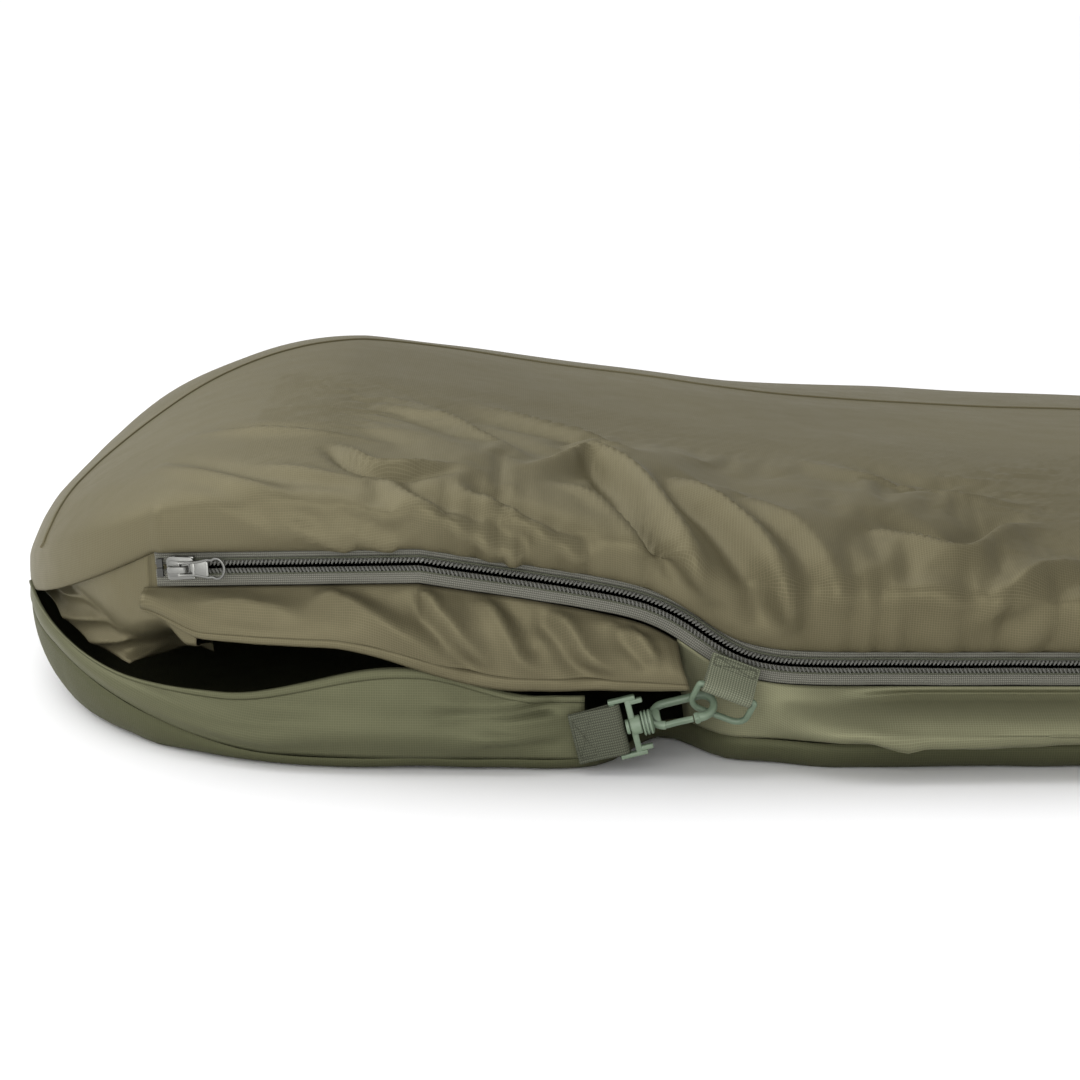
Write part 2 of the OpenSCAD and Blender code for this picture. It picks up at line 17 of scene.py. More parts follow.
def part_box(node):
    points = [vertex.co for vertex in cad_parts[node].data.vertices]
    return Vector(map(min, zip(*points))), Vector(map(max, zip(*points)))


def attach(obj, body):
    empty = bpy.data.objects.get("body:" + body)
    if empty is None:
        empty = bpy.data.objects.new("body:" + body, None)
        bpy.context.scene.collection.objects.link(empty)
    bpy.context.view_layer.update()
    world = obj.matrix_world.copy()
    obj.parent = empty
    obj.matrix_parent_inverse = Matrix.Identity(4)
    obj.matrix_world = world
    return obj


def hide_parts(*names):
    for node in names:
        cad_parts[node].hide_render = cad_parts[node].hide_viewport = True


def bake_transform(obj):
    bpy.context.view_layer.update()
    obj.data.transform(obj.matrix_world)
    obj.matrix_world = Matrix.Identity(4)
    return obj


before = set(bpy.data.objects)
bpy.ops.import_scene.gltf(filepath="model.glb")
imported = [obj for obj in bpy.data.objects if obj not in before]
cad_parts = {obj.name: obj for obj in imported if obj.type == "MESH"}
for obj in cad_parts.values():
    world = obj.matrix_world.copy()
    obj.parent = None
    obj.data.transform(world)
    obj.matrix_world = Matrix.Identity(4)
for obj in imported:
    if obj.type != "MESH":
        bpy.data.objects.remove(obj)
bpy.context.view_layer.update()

floor_low, floor_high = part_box("groundsheet")
head_x = floor_low.x                          # the head end of the sack
sack_length = floor_high.x - floor_low.x
shoulder = floor_high.y                       # half the lofted width at the shoulders
hood_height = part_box("top_shell")[1].z
print("sack length", round(sack_length, 3), "half width", round(shoulder, 3), "hood", round(hood_height, 3))

# %% [markdown]
# ## Camera
# The camera comes first, because every later choice of detail depends on how large a thing is in the
# picture. A long 85 mm lens flattens the sack, and a low camera looks in under the flap.

# %% Camera
CAMERA_RISE = radians(12)                     # how far the camera looks down
CAMERA_AWAY = 1.224                           # distance from the point that it looks at
aim = Vector((head_x + 0.2925, -0.3276, 0.1127))
camera_data = bpy.data.cameras.new("camera")
camera_data.lens, camera_data.sensor_width = 85, 36
camera = bpy.data.objects.new("camera", camera_data)
camera.rotation_euler = (pi / 2 - CAMERA_RISE, 0, 0)
camera.location = aim + CAMERA_AWAY * Vector((0, -cos(CAMERA_RISE), sin(CAMERA_RISE)))
bpy.context.scene.collection.objects.link(camera)
bpy.context.scene.camera = camera
print("camera at", [round(c, 3) for c in camera.location])

# %% [markdown]
# ## Floor and light
# A product like this is shown on white under large soft lights. A big pale floor and a white world give the
# even ground. The world lights the cloth more weakly than it shows, so that a broad soft light from above and
# behind the head can model the folds; two smaller area lights put a sheen on the hood and the near side.

# %% Floor and lights
def new_object(name, mesh):
    """A new object of a mesh, in the scene."""
    made = bpy.data.objects.new(name, mesh)
    bpy.context.scene.collection.objects.link(made)
    return made


def mesh_from(bm, name):
    """The mesh of a finished bmesh, which is then freed."""
    mesh = bpy.data.meshes.new(name)
    bm.to_mesh(mesh)
    bm.free()
    return mesh


def area_light(name, place, target, size, watts):
    """A square area light that looks at a point."""
    lamp = bpy.data.lights.new(name, "AREA")
    lamp.size, lamp.energy = size, watts
    made = bpy.data.objects.new(name, lamp)
    made.location = place
    made.rotation_euler = (Vector(target) - Vector(place)).to_track_quat("-Z", "Y").to_euler()
    bpy.context.scene.collection.objects.link(made)


SKY, SKY_LIGHT, KEY, HEAD_WATTS, FRONT_WATTS = 1.05, 0.56, 1.95, 8, 46
bm = bmesh.new()
bmesh.ops.create_grid(bm, x_segments=2, y_segments=2, size=60)
floor = new_object("floor", mesh_from(bm, "floor"))
floor_paint = bpy.data.materials.new("floor paint")
floor_paint.use_nodes = True
floor_shader = floor_paint.node_tree.nodes["Principled BSDF"]
floor_shader.inputs["Base Color"].default_value = (0.96, 0.96, 0.97, 1)
floor_shader.inputs["Roughness"].default_value = 0.8
floor_shader.inputs["Specular IOR Level"].default_value = 0.1
floor.data.materials.append(floor_paint)

world = bpy.data.worlds.new("studio")
world.use_nodes = True
world.node_tree.nodes["Background"].inputs["Color"].default_value = (1, 1, 1, 1)
rays = world.node_tree.nodes.new("ShaderNodeLightPath")
strength = world.node_tree.nodes.new("ShaderNodeMapRange")
strength.inputs["To Min"].default_value, strength.inputs["To Max"].default_value = SKY_LIGHT, SKY
world.node_tree.links.new(rays.outputs["Is Camera Ray"], strength.inputs["Value"])
world.node_tree.links.new(strength.outputs["Result"], world.node_tree.nodes["Background"].inputs["Strength"])
bpy.context.scene.world = world
hood_middle = (head_x + 0.3, 0, 0.1)
sky_lamp = bpy.data.lights.new("overhead light", "SUN")
sky_lamp.energy, sky_lamp.angle = KEY, radians(70)
overhead = bpy.data.objects.new("overhead light", sky_lamp)
overhead.rotation_euler = Vector((0.45, -0.35, -0.82)).to_track_quat("-Z", "Y").to_euler()
bpy.context.scene.collection.objects.link(overhead)
area_light("head light", (head_x - 1.5, -0.2, 1.0), hood_middle, 1.2, HEAD_WATTS)
area_light("front light", (head_x - 0.3, -2.6, 0.6), hood_middle, 2.4, FRONT_WATTS)
bpy.context.scene.view_settings.view_transform = "Standard"

# %% [markdown]
# ## The sack's plan and heights
# Every panel shares the same few lines: how wide the sack is at a distance from its head, how high its ridge
# is, and where the zip runs. They are functions here, as they are in the design, so that each panel of cloth
# meets its neighbours on the same seam. Distances are in metres from the head end.

# %% Plan and ridge
HEAD_ROUND, HEAD_POWER = 0.260, 2.7           # the head's rounding and how square it is
FOOT_ROUND, FOOT_POWER = 0.150, 2.6
FOOT_HALF_WIDTH, TAPER_START = 0.262, 0.560
FAR_SEAM = 0.048                              # height of the seam round the far side
HOOD_PEAK, HOOD_FALL = 0.180, 0.240
BODY_HEIGHT = 0.108


def ease(t):
    """0 to 1 with no corner at either end."""
    t = np.clip(t, 0, 1)
    return t * t * (3 - 2 * t)


def mix(a, b, t):
    return a + (b - a) * t


def head_factor(s):
    return (1 - np.clip(1 - s / HEAD_ROUND, 0, 1) ** HEAD_POWER) ** (1 / HEAD_POWER)


def foot_factor(s):
    t = np.clip((s - sack_length + FOOT_ROUND) / FOOT_ROUND, 0, 1)
    return np.maximum(0, 1 - t ** FOOT_POWER) ** (1 / FOOT_POWER)


def half_width(s):
    body = mix(shoulder, FOOT_HALF_WIDTH, ease((s - TAPER_START) / (sack_length - TAPER_START)))
    return body * head_factor(s) * foot_factor(s)


def ridge(s):
    rise = np.sin(np.clip(s / HOOD_PEAK, 0, 1) * pi / 2) ** 0.5
    hood = FAR_SEAM + (hood_height - FAR_SEAM) * rise
    fall = np.exp(-(np.maximum(s - HOOD_PEAK, 0) / HOOD_FALL) ** 1.3)
    body = FAR_SEAM + (BODY_HEIGHT - FAR_SEAM + (hood_height - BODY_HEIGHT) * fall) * foot_factor(s) ** 0.8
    return np.where(s < HOOD_PEAK, hood, body)


print("ridge at the mouth", round(float(ridge(np.array(0.2))), 4))

# %% The zip's line
RUN_START, RUN_END = 0.104, 0.235             # the straight stretch on which the slider runs
RUN_Y, RUN_Z = -0.305, 0.0943
RUN_DY, RUN_DZ = -0.2266, 0.065
LOW_Z = 0.0519                                # height of the zip along the body
DROP_MIDDLE, DROP_LENGTH, LEAN = 0.374, 0.012, 0.42
ZIP_INSET = 0.008
ZIP_END = 1.500
ROW_GAP, ROW_WIDTH, TAPE_WIDTH = 0.0008, 0.003, 0.0085
TAPE_TOP = ROW_GAP + 0.0004 + TAPE_WIDTH


def zip_height(s):
    run = RUN_Z + RUN_DZ * (s - RUN_START)
    top = RUN_Z + RUN_DZ * (RUN_END - RUN_START) - LOW_Z
    lean = 1 - LEAN * np.minimum(1.6, (s - RUN_END) / (DROP_MIDDLE - RUN_END))
    drop = LOW_Z + top * lean / (1 + np.exp(np.clip((s - DROP_MIDDLE) / DROP_LENGTH, -60, 60)))
    return np.where(s <= RUN_END, run, drop)


def zip_across(s):
    run_inset = half_width(RUN_END) + RUN_Y + RUN_DY * (RUN_END - RUN_START)
    inset = mix(run_inset, ZIP_INSET, ease((s - RUN_END) / 0.06))
    return np.where(s <= RUN_END, RUN_Y + RUN_DY * (s - RUN_START), inset - half_width(s))


def points(x, y, z):
    """Points as rows, from three arrays or numbers."""
    return np.stack(np.broadcast_arrays(x, y, z), -1).astype(float)


def zip_point(s):
    return points(s + head_x, zip_across(s), zip_height(s))


def zip_frame(s):
    """The zip's direction, the way out of the tapes' plane, and the way up across them."""
    along = zip_point(s + 0.002) - zip_point(s - 0.002)
    along /= np.linalg.norm(along, axis=-1, keepdims=True)
    out = points(along[..., 1], -along[..., 0], 0)
    out /= np.linalg.norm(out, axis=-1, keepdims=True)
    return along, out, np.cross(out, along)


def beside_zip(s, out, up):
    """A point out from the tapes' plane, and up across it."""
    _, way_out, way_up = zip_frame(s)
    return zip_point(s) + np.expand_dims(out, -1) * way_out + np.expand_dims(up, -1) * way_up


print("zip from", np.round(zip_point(np.array(RUN_START)), 3), "to",
      np.round(zip_point(np.array(ZIP_END)), 3))

# %% [markdown]
# ## Sheets of cloth
# Each panel starts as a flat grid, and a function says where every point of it lies on the lofted sack. The
# same grid gets a UV map measured along the cloth in metres, so that the ripstop keeps its real size on
# every panel and follows its folds. Folds are added as soft ridges drawn across the flat pattern, the way a
# sewer would chalk them.

# %% Cloth grids
def grid_lengths(lie):
    """How far along and across the cloth each point of a grid is, in metres."""
    steps_along = np.linalg.norm(np.diff(lie[:, lie.shape[1] // 2], axis=0), axis=-1)
    along = np.concatenate([[0], np.cumsum(steps_along)])[:, None] + np.zeros(lie.shape[:2])
    steps_across = np.linalg.norm(np.diff(lie, axis=1), axis=-1)
    across = np.concatenate([np.zeros((lie.shape[0], 1)), np.cumsum(steps_across, axis=1)], axis=1)
    return along, across


def grid_normals(lie):
    normal = np.cross(np.gradient(lie, axis=0), np.gradient(lie, axis=1))
    return normal / np.maximum(np.linalg.norm(normal, axis=-1, keepdims=True), 1e-12)


def grid_mesh(name, lie, uv):
    """A smooth mesh on a grid of points, with a UV map in metres."""
    columns, rows = lie.shape[0] - 1, lie.shape[1] - 1
    bm = bmesh.new()
    bmesh.ops.create_grid(bm, x_segments=columns, y_segments=rows, size=1)
    mesh = mesh_from(bm, name)
    flat = np.empty(len(mesh.vertices) * 3)
    mesh.vertices.foreach_get("co", flat)
    unit = (flat.reshape(-1, 3) + 1) / 2
    column, row = np.rint(unit[:, 0] * columns).astype(int), np.rint(unit[:, 1] * rows).astype(int)
    mesh.vertices.foreach_set("co", lie[column, row].astype(float).ravel())
    corner = np.empty(len(mesh.loops), int)
    mesh.loops.foreach_get("vertex_index", corner)
    layer = mesh.uv_layers.new(name="cloth")
    layer.data.foreach_set("uv", uv[column, row][corner].astype(np.float32).ravel())
    mesh.polygons.foreach_set("use_smooth", [True] * len(mesh.polygons))
    mesh.update()
    return mesh


def cloth_grid(place, stations, shares, shape=None):
    """The points of a panel and its UV, from its smooth place(s, v) and its folds' height shape(s, across)."""
    lie = place(stations[:, None], shares[None, :])
    along, across = grid_lengths(lie)
    if shape:
        lie = lie + shape(stations[:, None] + np.zeros(across.shape), across)[..., None] * grid_normals(lie)
    return lie, np.stack([along, across], -1)


def on_cloth(lie, stations, shares, s, v, lift=0.0):
    """Points on a finished panel, at distances s from the head end and shares v across it, with a lift."""
    i = np.interp(s, stations, np.arange(len(stations)))
    j = np.interp(v, shares, np.arange(len(shares)))
    i0, j0 = np.minimum(i.astype(int), len(stations) - 2), np.minimum(j.astype(int), len(shares) - 2)
    fi, fj = (i - i0)[..., None], (j - j0)[..., None]
    found = []
    for grid in (lie, grid_normals(lie)):
        near = mix(grid[i0, j0], grid[i0 + 1, j0], fi)
        found.append(mix(near, mix(grid[i0, j0 + 1], grid[i0 + 1, j0 + 1], fi), fj))
    return found[0] + np.expand_dims(lift, -1) * found[1]


def wander(a, b, size, seed, octaves=2):
    """Smooth noise between -1 and 1 over the flat cloth."""
    value = np.vectorize(lambda x, y: noise.fractal(Vector((x, y, seed * 7.3)), 1.0, 2.0, octaves))
    return np.clip(value(a / size, b / size), -1, 1)


def stroke(a, b, path, width, height, lean=0.0, ends=(0.3, 0.3)):
    """A fold drawn across the cloth along a path of (a, b) points. It is a ridge of this width and height,
    with a trough of lean times its height on its left side for a positive lean, or its right for a negative.
    The ends say over what share of its length it fades in and out."""
    path = np.asarray(path, float)
    for _ in range(3):                        # cuts the path's corners until it is smooth
        ends_in = np.stack([mix(path[:-1], path[1:], 0.25), mix(path[:-1], path[1:], 0.75)], 1).reshape(-1,
            2)
        path = np.concatenate([path[:1], ends_in, path[-1:]])
    steps = np.linalg.norm(np.diff(path, axis=0), axis=1)
    total = steps.sum()
    best = np.full(np.shape(a), 1e9)
    side, share = np.zeros(np.shape(a)), np.zeros(np.shape(a))
    start = 0.0
    for (p, q), length in zip(zip(path[:-1], path[1:]), steps):
        way = (q - p) / length
        t = np.clip((a - p[0]) * way[0] + (b - p[1]) * way[1], 0, length)
        da, db = a - p[0] - t * way[0], b - p[1] - t * way[1]
        distance = np.hypot(da, db)
        nearer = distance < best
        best = np.where(nearer, distance, best)
        side = np.where(nearer, np.sign(way[0] * db - way[1] * da), side)
        share = np.where(nearer, (start + t) / total, share)
        start += length
    fade = ease(share / max(ends[0], 1e-3)) * ease((1 - share) / max(ends[1], 1e-3))
    crest = np.exp(-np.abs(best / width) ** 1.4)
    trough = np.exp(-((side * np.sign(lean) * best - 1.6 * width) / (1.1 * width)) ** 2)
    return fade * height * (crest - abs(lean) * trough)


print("cloth tools ready")

# %% [markdown]
# ## Nylon
# Mini-ripstop nylon has a square grid of thicker threads about 1.2 mm apart in a fine satin ground. One
# shader group makes the grid from the cloth's own UV, as a height for the bump and a mask for the threads.
# A second group gives slow changes of tone, where the coating is rubbed and where dye lots differ.

# %% Shader groups
def link(tree, a, b):
    tree.links.new(a, b)


def math_node(tree, operation, a, b=None, c=None):
    """A Math node's output, from sockets or numbers."""
    node = tree.nodes.new("ShaderNodeMath")
    node.operation = operation
    for socket, value in zip(node.inputs, (a, b, c)):
        if value is None:
            continue
        if hasattr(value, "is_linked"):
            link(tree, value, socket)
        else:
            socket.default_value = value
    return node.outputs[0]


def group(name, inputs, outputs):
    """An empty shader group with named number inputs and named outputs."""
    tree = bpy.data.node_groups.new(name, "ShaderNodeTree")
    for label, value in inputs.items():
        kind = "NodeSocketVector" if value is None else "NodeSocketFloat"
        socket = tree.interface.new_socket(name=label, in_out="INPUT", socket_type=kind)
        if value is not None:
            socket.default_value = value
    for label in outputs:
        tree.interface.new_socket(name=label, in_out="OUTPUT", socket_type="NodeSocketFloat")
    return tree, tree.nodes.new("NodeGroupInput"), tree.nodes.new("NodeGroupOutput")


def place_group(tree, source, values):
    """A group node in a material, with its inputs set or linked."""
    node = tree.nodes.new("ShaderNodeGroup")
    node.node_tree = source
    for label, value in values.items():
        if hasattr(value, "is_linked"):
            link(tree, value, node.inputs[label])
        else:
            node.inputs[label].default_value = value
    return node


def thread_line(tree, coordinate, cell, width):
    """1 on a thread and 0 between threads, for one direction of the grid."""
    wave = math_node(tree, "PINGPONG", coordinate, math_node(tree, "MULTIPLY", cell, 0.5))
    share = math_node(tree, "DIVIDE", wave, math_node(tree, "MULTIPLY", cell, width))
    return math_node(tree, "SUBTRACT", 1.0, math_node(tree, "SMOOTH_MIN", share, 1.0, 0.3))


ripstop, into, out_of = group("ripstop grid", {"UV": None, "Cell": 0.0012, "Thread": 0.17},
                              ["Height", "Thread mask"])
axes = ripstop.nodes.new("ShaderNodeSeparateXYZ")
link(ripstop, into.outputs["UV"], axes.inputs[0])
across_line = thread_line(ripstop, axes.outputs["X"], into.outputs["Cell"], into.outputs["Thread"])
along_line = thread_line(ripstop, axes.outputs["Y"], into.outputs["Cell"], into.outputs["Thread"])
threads = math_node(ripstop, "MAXIMUM", across_line, along_line)
link(ripstop, threads, out_of.inputs["Height"])
link(ripstop, threads, out_of.inputs["Thread mask"])

mottle, into, out_of = group("cloth mottle", {"Position": None, "Broad": 5.0, "Fine": 60.0},
                             ["Broad tone", "Fine tone"])
for label, tone in (("Broad", "Broad tone"), ("Fine", "Fine tone")):
    cloud = mottle.nodes.new("ShaderNodeTexNoise")
    cloud.inputs["Detail"].default_value = 3
    link(mottle, into.outputs["Position"], cloud.inputs["Vector"])
    link(mottle, into.outputs[label], cloud.inputs["Scale"])
    link(mottle, cloud.outputs["Fac"], out_of.inputs[tone])
print("shader groups:", ripstop.name, "and", mottle.name)

# %% Nylon material
def new_material(name, roughness):
    """A material with its Principled shader, its UV and its Object coordinates."""
    made = bpy.data.materials.new(name)
    made.use_nodes = True
    shader = made.node_tree.nodes["Principled BSDF"]
    shader.inputs["Roughness"].default_value = roughness
    coordinates = made.node_tree.nodes.new("ShaderNodeTexCoord")
    return made, made.node_tree, shader, coordinates


def ramp(tree, factor, stops):
    """A Color Ramp from (place, colour) stops."""
    node = tree.nodes.new("ShaderNodeValToRGB")
    while len(node.color_ramp.elements) < len(stops):
        node.color_ramp.elements.new(0.5)
    for element, (place, colour) in zip(node.color_ramp.elements, stops):
        element.position, element.color = place, (*colour, 1)
    link(tree, factor, node.inputs["Fac"])
    return node.outputs["Color"]


def bump(tree, height, strength, distance, under=None):
    node = tree.nodes.new("ShaderNodeBump")
    node.inputs["Strength"].default_value = strength
    node.inputs["Distance"].default_value = distance
    link(tree, height, node.inputs["Height"])
    if under:
        link(tree, under, node.inputs["Normal"])
    return node.outputs["Normal"]


def mix_colours(tree, factor, first, second, kind="MIX"):
    node = tree.nodes.new("ShaderNodeMix")
    node.data_type, node.blend_type = "RGBA", kind
    for socket, value in ((node.inputs["Factor"], factor), (node.inputs["A"], first),
                          (node.inputs["B"], second)):
        if hasattr(value, "is_linked"):
            link(tree, value, socket)
        else:
            socket.default_value = value if isinstance(value, float) else (*value, 1)
    return node.outputs["Result"]


def nylon(name, deep, light, roughness=0.43):
    """Satin ripstop: tone from deep to light, threads painted a little lighter as a painted sheen, and the grid
    as a small bump.
    """
    made, tree, shader, coordinates = new_material(name, roughness)
    grid = place_group(tree, ripstop, {"UV": coordinates.outputs["UV"]})
    tones = place_group(tree, mottle, {"Position": coordinates.outputs["Object"]})
    base = ramp(tree, tones.outputs["Broad tone"], [(0.35, deep), (0.68, light)])
    # The threads are painted lighter than the cloth between them: a painted sheen on the thicker threads.
    thread = tuple(min(1, c * 1.35 + 0.006) for c in light)
    painted_thread_sheen = math_node(tree, "MULTIPLY", grid.outputs["Thread mask"], 0.75)
    link(tree, mix_colours(tree, painted_thread_sheen, base, thread), shader.inputs["Base Color"])
    rough = math_node(tree, "MULTIPLY_ADD", tones.outputs["Fine tone"], 0.16, roughness - 0.08)
    link(tree, rough, shader.inputs["Roughness"])
    link(tree, bump(tree, grid.outputs["Height"], 0.35, 0.00012), shader.inputs["Normal"])
    shader.inputs["Metallic"].default_value = 0.30            # the satin's sheen takes the dye's colour
    shader.inputs["Specular Tint"].default_value = (0.55, 0.53, 0.40, 1)
    shader.inputs["Specular IOR Level"].default_value = 0.12
    return made


khaki_nylon = nylon("khaki ripstop nylon", (0.112, 0.098, 0.056), (0.130, 0.115, 0.068))
# A copy of the khaki nylon painted darker and greener: painted shade for the low lip and its binding.
shaded_green_nylon = nylon("nylon painted darker and greener as shade", (0.084, 0.085, 0.048), (0.102, 0.103, 0.059))
# A copy of the khaki nylon painted lighter: painted light from the front on the side panel's bulge.
front_lit_panel_nylon = nylon("side panel nylon painted lighter as front light", (0.165, 0.163, 0.098), (0.195, 0.193, 0.118))
floor_nylon = nylon("coated floor nylon", (0.062, 0.063, 0.034), (0.076, 0.078, 0.042), 0.5)
print("nylons:", khaki_nylon.name, shaded_green_nylon.name, floor_nylon.name)

# %% [markdown]
# ## Top shell
# The top shell is the largest panel: it starts in the tuck above the zip, bulges out over it, crosses the
# hood and meets the groundsheet on the far seam. Its cross-sections are drawn with a superellipse on the near
# side, then spaced evenly, so that the cloth's grid stays square.

# %% Top shell's cross-sections
TIP, TIP_Z = 0.020, 0.055                     # the corner of the mouth at the head
SEAM_IN = 0.0027
TUCK, TUCK_SHARE, NEAR_POWER = 0.009, 0.42, 2.3
FAR_BULGE = 0.010
SHELL_OUT, SHELL_OVER = 0.0026, 0.0022       # the shell's folded edge laps over the upper tape


def shell_edge(s):
    """Across and height of the shell's near edge: up round the head, then above the upper tape."""
    above = beside_zip(s, SHELL_OUT, TAPE_TOP - SHELL_OVER)
    rise = mix(TIP_Z, RUN_Z + TAPE_TOP - SHELL_OVER, (s - TIP) / (RUN_START - TIP))
    z = np.where(s < TIP, mix(FAR_SEAM, TIP_Z, s / TIP), np.where(s < RUN_START, rise, above[..., 2]))
    y = np.where(s < RUN_START, -(half_width(s) - SEAM_IN), above[..., 1])
    return y, np.minimum(z, ridge(s) - 0.004)


def even_rows(s, y, z, shares):
    """Spaces each row's points by its share of the row's length."""
    length = np.concatenate([np.zeros((len(y), 1)), np.cumsum(np.hypot(np.diff(y), np.diff(z)), axis=1)],
                            axis=1)
    rows = [(np.interp(shares, l / l[-1], a), np.interp(shares, l / l[-1], b)) for l, a,
            b in zip(length, y, z)]
    y, z = (np.array([row[k] for row in rows]) for k in (0, 1))
    return points(s + head_x, y, z)


def shell_place(s, v):
    edge_y, edge_z = shell_edge(s)
    w, top = half_width(s), ridge(s)
    share = np.minimum(1, w / shoulder)
    tuck, far = TUCK * share, FAR_SEAM + FAR_BULGE * share
    middle = edge_z + TUCK_SHARE * (top - edge_z)
    turn = np.linspace(0, pi / 2, 30)[None, :]
    near = (np.cos(turn) ** (2 / NEAR_POWER), np.sin(turn) ** (2 / NEAR_POWER))
    y = [edge_y - tuck * np.sin(turn), (edge_y - tuck) * near[0], w * np.sin(turn), w - SEAM_IN + 0 * s]
    z = [middle - (middle - edge_z) * np.cos(turn), middle + (top - middle) * near[1],
         far + (top - far) * np.cos(turn), FAR_SEAM + 0 * s]
    return even_rows(s, np.concatenate(y, axis=1), np.concatenate(z, axis=1), np.ravel(v))


head_stations = 0.100 * (np.arange(1, 29) / 28) ** 2.2
shell_stations = np.concatenate([
    head_stations, np.arange(0.1035, 0.60, 0.0033), 0.60 + 0.92 * np.linspace(0, 1, 56)[1:],
    np.linspace(1.535, sack_length - 0.16, 22), sack_length - 0.15 * (np.arange(16, 0, -1) / 16) ** 2.2])
shell_shares = np.concatenate([np.linspace(0, 0.24, 64), np.linspace(0.24, 0.60, 52)[1:],
                               np.linspace(0.60, 1, 28)[1:]])
print("top shell grid", len(shell_stations), "by", len(shell_shares))

# %% [markdown]
# Cloth gathered on the zip tape runs up in short puckers. Long creases run down from the ridge to the zip's
# bend, and the hood stays smooth but for a few shallow ones. Each crease is a path of points on the flat
# cloth (distance from the head, distance across from the zip), with its width, height, lean and fades.

# %% Folds of the top shell
def gathers(s, across, pitch, reach, height, seed):
    """Puckers that run up from a gathered edge, of uneven spacing, length and height."""
    drift = wander(s, 0 * s, pitch * 5, seed) * 1.6
    phase = s / pitch + drift + 0.25 * wander(s, across, 0.05, seed + 1)
    wave = np.abs(np.sin(pi * phase)) ** 0.7 - 0.62
    strength = 0.55 + 0.9 * wander(s, 0 * s, pitch * 2.7, seed + 2)
    length = reach * (1 + 0.6 * wander(s, 0 * s, pitch * 3.1, seed + 3))
    fade = np.exp(-(across / np.maximum(length, 1e-3)) ** 1.3) * ease(across / 0.006)
    return height * wave * fade * np.clip(strength, 0, 2)


def shell_folds(s, across):
    body = ease((s - 0.34) / 0.12)
    fold = 0.0026 * wander(s, across, 0.16, 1) * ease(across / 0.05)
    low = ease(across / 0.03) * (1 - 0.9 * ease((across - 0.10) / 0.10))
    fold += 0.0014 * wander(s + 0.5 * across, across, 0.05, 2) * low * (0.35 + 0.65 * body)
    fold += gathers(s, across, 0.019, 0.040, 0.0050, 3) * ease((s - 0.13) / 0.12)
    fold += gathers(s, across, 0.036, 0.10, 0.0060, 7) * ease((s - 0.42) / 0.1)
    for path, width, height, lean, ends in SHELL_CREASES:
        fold += stroke(s, across, path, width, height, lean, ends)
    return fold * ease((0.76 - across) / 0.03)


